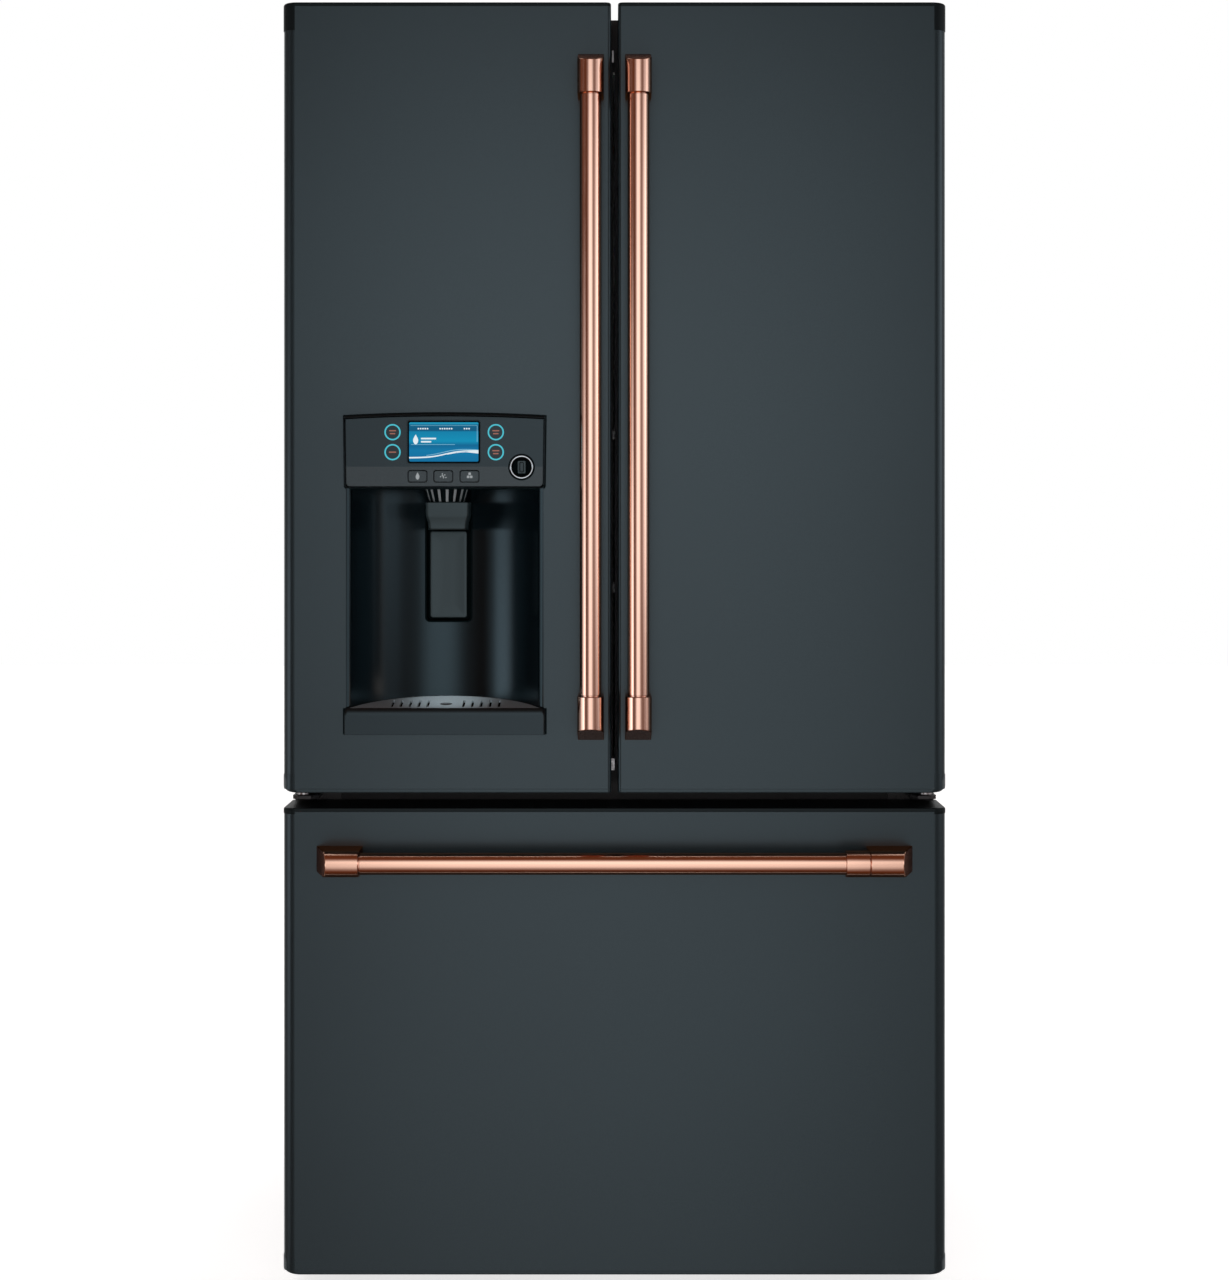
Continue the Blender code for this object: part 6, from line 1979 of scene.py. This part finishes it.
def make_world():
    """White behind the object; its light and its reflections come from soft boxes round it."""
    world = bpy.data.worlds.new("studio")
    world.use_nodes = True
    bpy.context.scene.world = world
    tree = world.node_tree
    tree.nodes.clear()
    parts = place_parts(tree, "Generated")
    forward = combine(tree, "MULTIPLY", parts["Y"], -1.0)
    azimuth = combine(tree, "DEGREES", combine(tree, "ARCTAN2", parts["X"], forward))
    elevation = combine(tree, "DEGREES", combine(tree, "ARCSINE", parts["Z"]))
    total = None
    for tint, across, upwards in (LEFT_STRIP, RIGHT_STRIP, WARM_FILL, BACK_LIGHT, OVERHEAD):
        across, upwards = curve(tree, azimuth, across), curve(tree, elevation, upwards)
        level = combine(tree, "MULTIPLY", across, upwards)
        part = node(tree, "ShaderNodeVectorMath", operation="SCALE")
        part.inputs[0].default_value = tint
        link(tree, level, part.inputs["Scale"])
        if total is None:
            total = part.outputs[0]
            continue
        both = node(tree, "ShaderNodeVectorMath", operation="ADD")
        link(tree, total, both.inputs[0])
        link(tree, part.outputs[0], both.inputs[1])
        total = both.outputs[0]
    studio = node(tree, "ShaderNodeBackground")
    link(tree, total, studio.inputs["Color"])
    backdrop = node(tree, "ShaderNodeBackground", Color=(1, 1, 1, 1))
    path = node(tree, "ShaderNodeLightPath")
    mix = node(tree, "ShaderNodeMixShader")
    link(tree, path.outputs["Is Camera Ray"], mix.inputs[0])
    link(tree, studio.outputs[0], mix.inputs[1])
    link(tree, backdrop.outputs[0], mix.inputs[2])
    out = node(tree, "ShaderNodeOutputWorld")
    link(tree, mix.outputs[0], out.inputs["Surface"])


# The front soft box: how bright it is across and up its face, in metres.
CARD_DISTANCE = 2.4
CARD_ACROSS = (
    (-2.2, 0.0), (-1.35, 0.14), (-0.3, 1.30), (-0.1, 1.33), (0.3, 1.24), (1.2, 0.26), (2.2, 0.0),
)
CARD_UP = (
    (-4.5, 0.0), (-3.0, 0.08), (-1.5, 0.26), (-0.6, 0.58), (0.0, 0.78), (0.6, 0.83), (1.1, 0.96),
    (1.5, 1.04), (1.9, 0.90), (2.3, 0.54), (2.9, 0.22), (3.6, 0.03), (4.2, 0.0),
)


def make_front_card():
    """A tall soft box in front of the doors, brightest in its middle; only its light is seen."""
    bm = bmesh.new()
    y = FACE - CARD_DISTANCE
    x0, x1, z0, z1 = CARD_ACROSS[0][0], CARD_ACROSS[-1][0], CARD_UP[0][0], CARD_UP[-1][0]
    corners = ((x0, y, z0), (x0, y, z1), (x1, y, z1), (x1, y, z0))
    bm.faces.new([bm.verts.new(place) for place in corners])
    card = new_object("front_softbox", bm)
    material = bpy.data.materials.new("softbox_glow")
    material.use_nodes = True
    tree = material.node_tree
    tree.nodes.clear()
    parts = place_parts(tree, "Object")
    across, upwards = curve(tree, parts["X"], CARD_ACROSS), curve(tree, parts["Z"], CARD_UP)
    light = node(tree, "ShaderNodeEmission", Color=(0.985, 1.0, 1.03, 1))
    link(tree, combine(tree, "MULTIPLY", across, upwards), light.inputs["Strength"])
    clear = node(tree, "ShaderNodeBsdfTransparent")
    both = node(tree, "ShaderNodeAddShader")
    link(tree, light.outputs[0], both.inputs[0])
    link(tree, clear.outputs[0], both.inputs[1])
    out = node(tree, "ShaderNodeOutputMaterial")
    link(tree, both.outputs[0], out.inputs["Surface"])
    card.data.materials.append(material)
    card.visible_camera = False
    card.visible_shadow = False


def make_tray_light():
    """The dispenser's work light: a soft beam from over the ledge onto the tray."""
    data = bpy.data.lights.new("dispenser_light", "SPOT")
    data.energy = 1.8
    data.spot_size = radians(32)
    data.spot_blend = 1.0
    data.shadow_soft_size = 0.02
    light = bpy.data.objects.new("dispenser_light", data)
    light.location = (RECESS_X, FACE - 0.002, RECESS_TOP - 0.03)
    aim = Vector((RECESS_X, FACE + 0.048, RECESS_LOW)) - light.location
    light.rotation_euler = aim.to_track_quat("-Z", "Y").to_euler()
    light.visible_glossy = False
    bpy.context.scene.collection.objects.link(light)


def make_camera():
    """Level, in front of the doors. The lens is shifted, so that it can stand at mid height."""
    distance = 3.2
    frame_height = 1.7477
    centre_z = 0.9009
    eye_z = 1.058
    data = bpy.data.cameras.new("camera")
    data.sensor_width = 36.0
    data.lens = data.sensor_width * distance / frame_height
    data.shift_y = (centre_z - eye_z) / frame_height
    camera = bpy.data.objects.new("camera", data)
    camera.location = (0.0, FACE - distance, eye_z)
    camera.rotation_euler = (radians(90), 0, 0)
    bpy.context.scene.collection.objects.link(camera)
    bpy.context.scene.camera = camera


# ---------------------------------------------------------------- assembly
make_doors()
make_drawer_front()
make_recess()
make_ledge()
make_tray()
make_control_panel()
make_display()
make_touch_rings()
make_keys()
make_socket()
make_spout()
make_paddle()
make_case()
make_case_top()
make_mullion()
make_liners()
make_shelves()
make_crispers()
make_filter()
make_bins()
make_dairy()
make_ice_maker()
make_freezer()
make_base()

base_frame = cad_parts["base_frame"]
base_frame.data.materials.clear()
base_frame.data.materials.append(ZINC)

make_stage()
make_world()
make_front_card()
make_tray_light()
make_camera()
bpy.context.scene.view_settings.view_transform = "Standard"
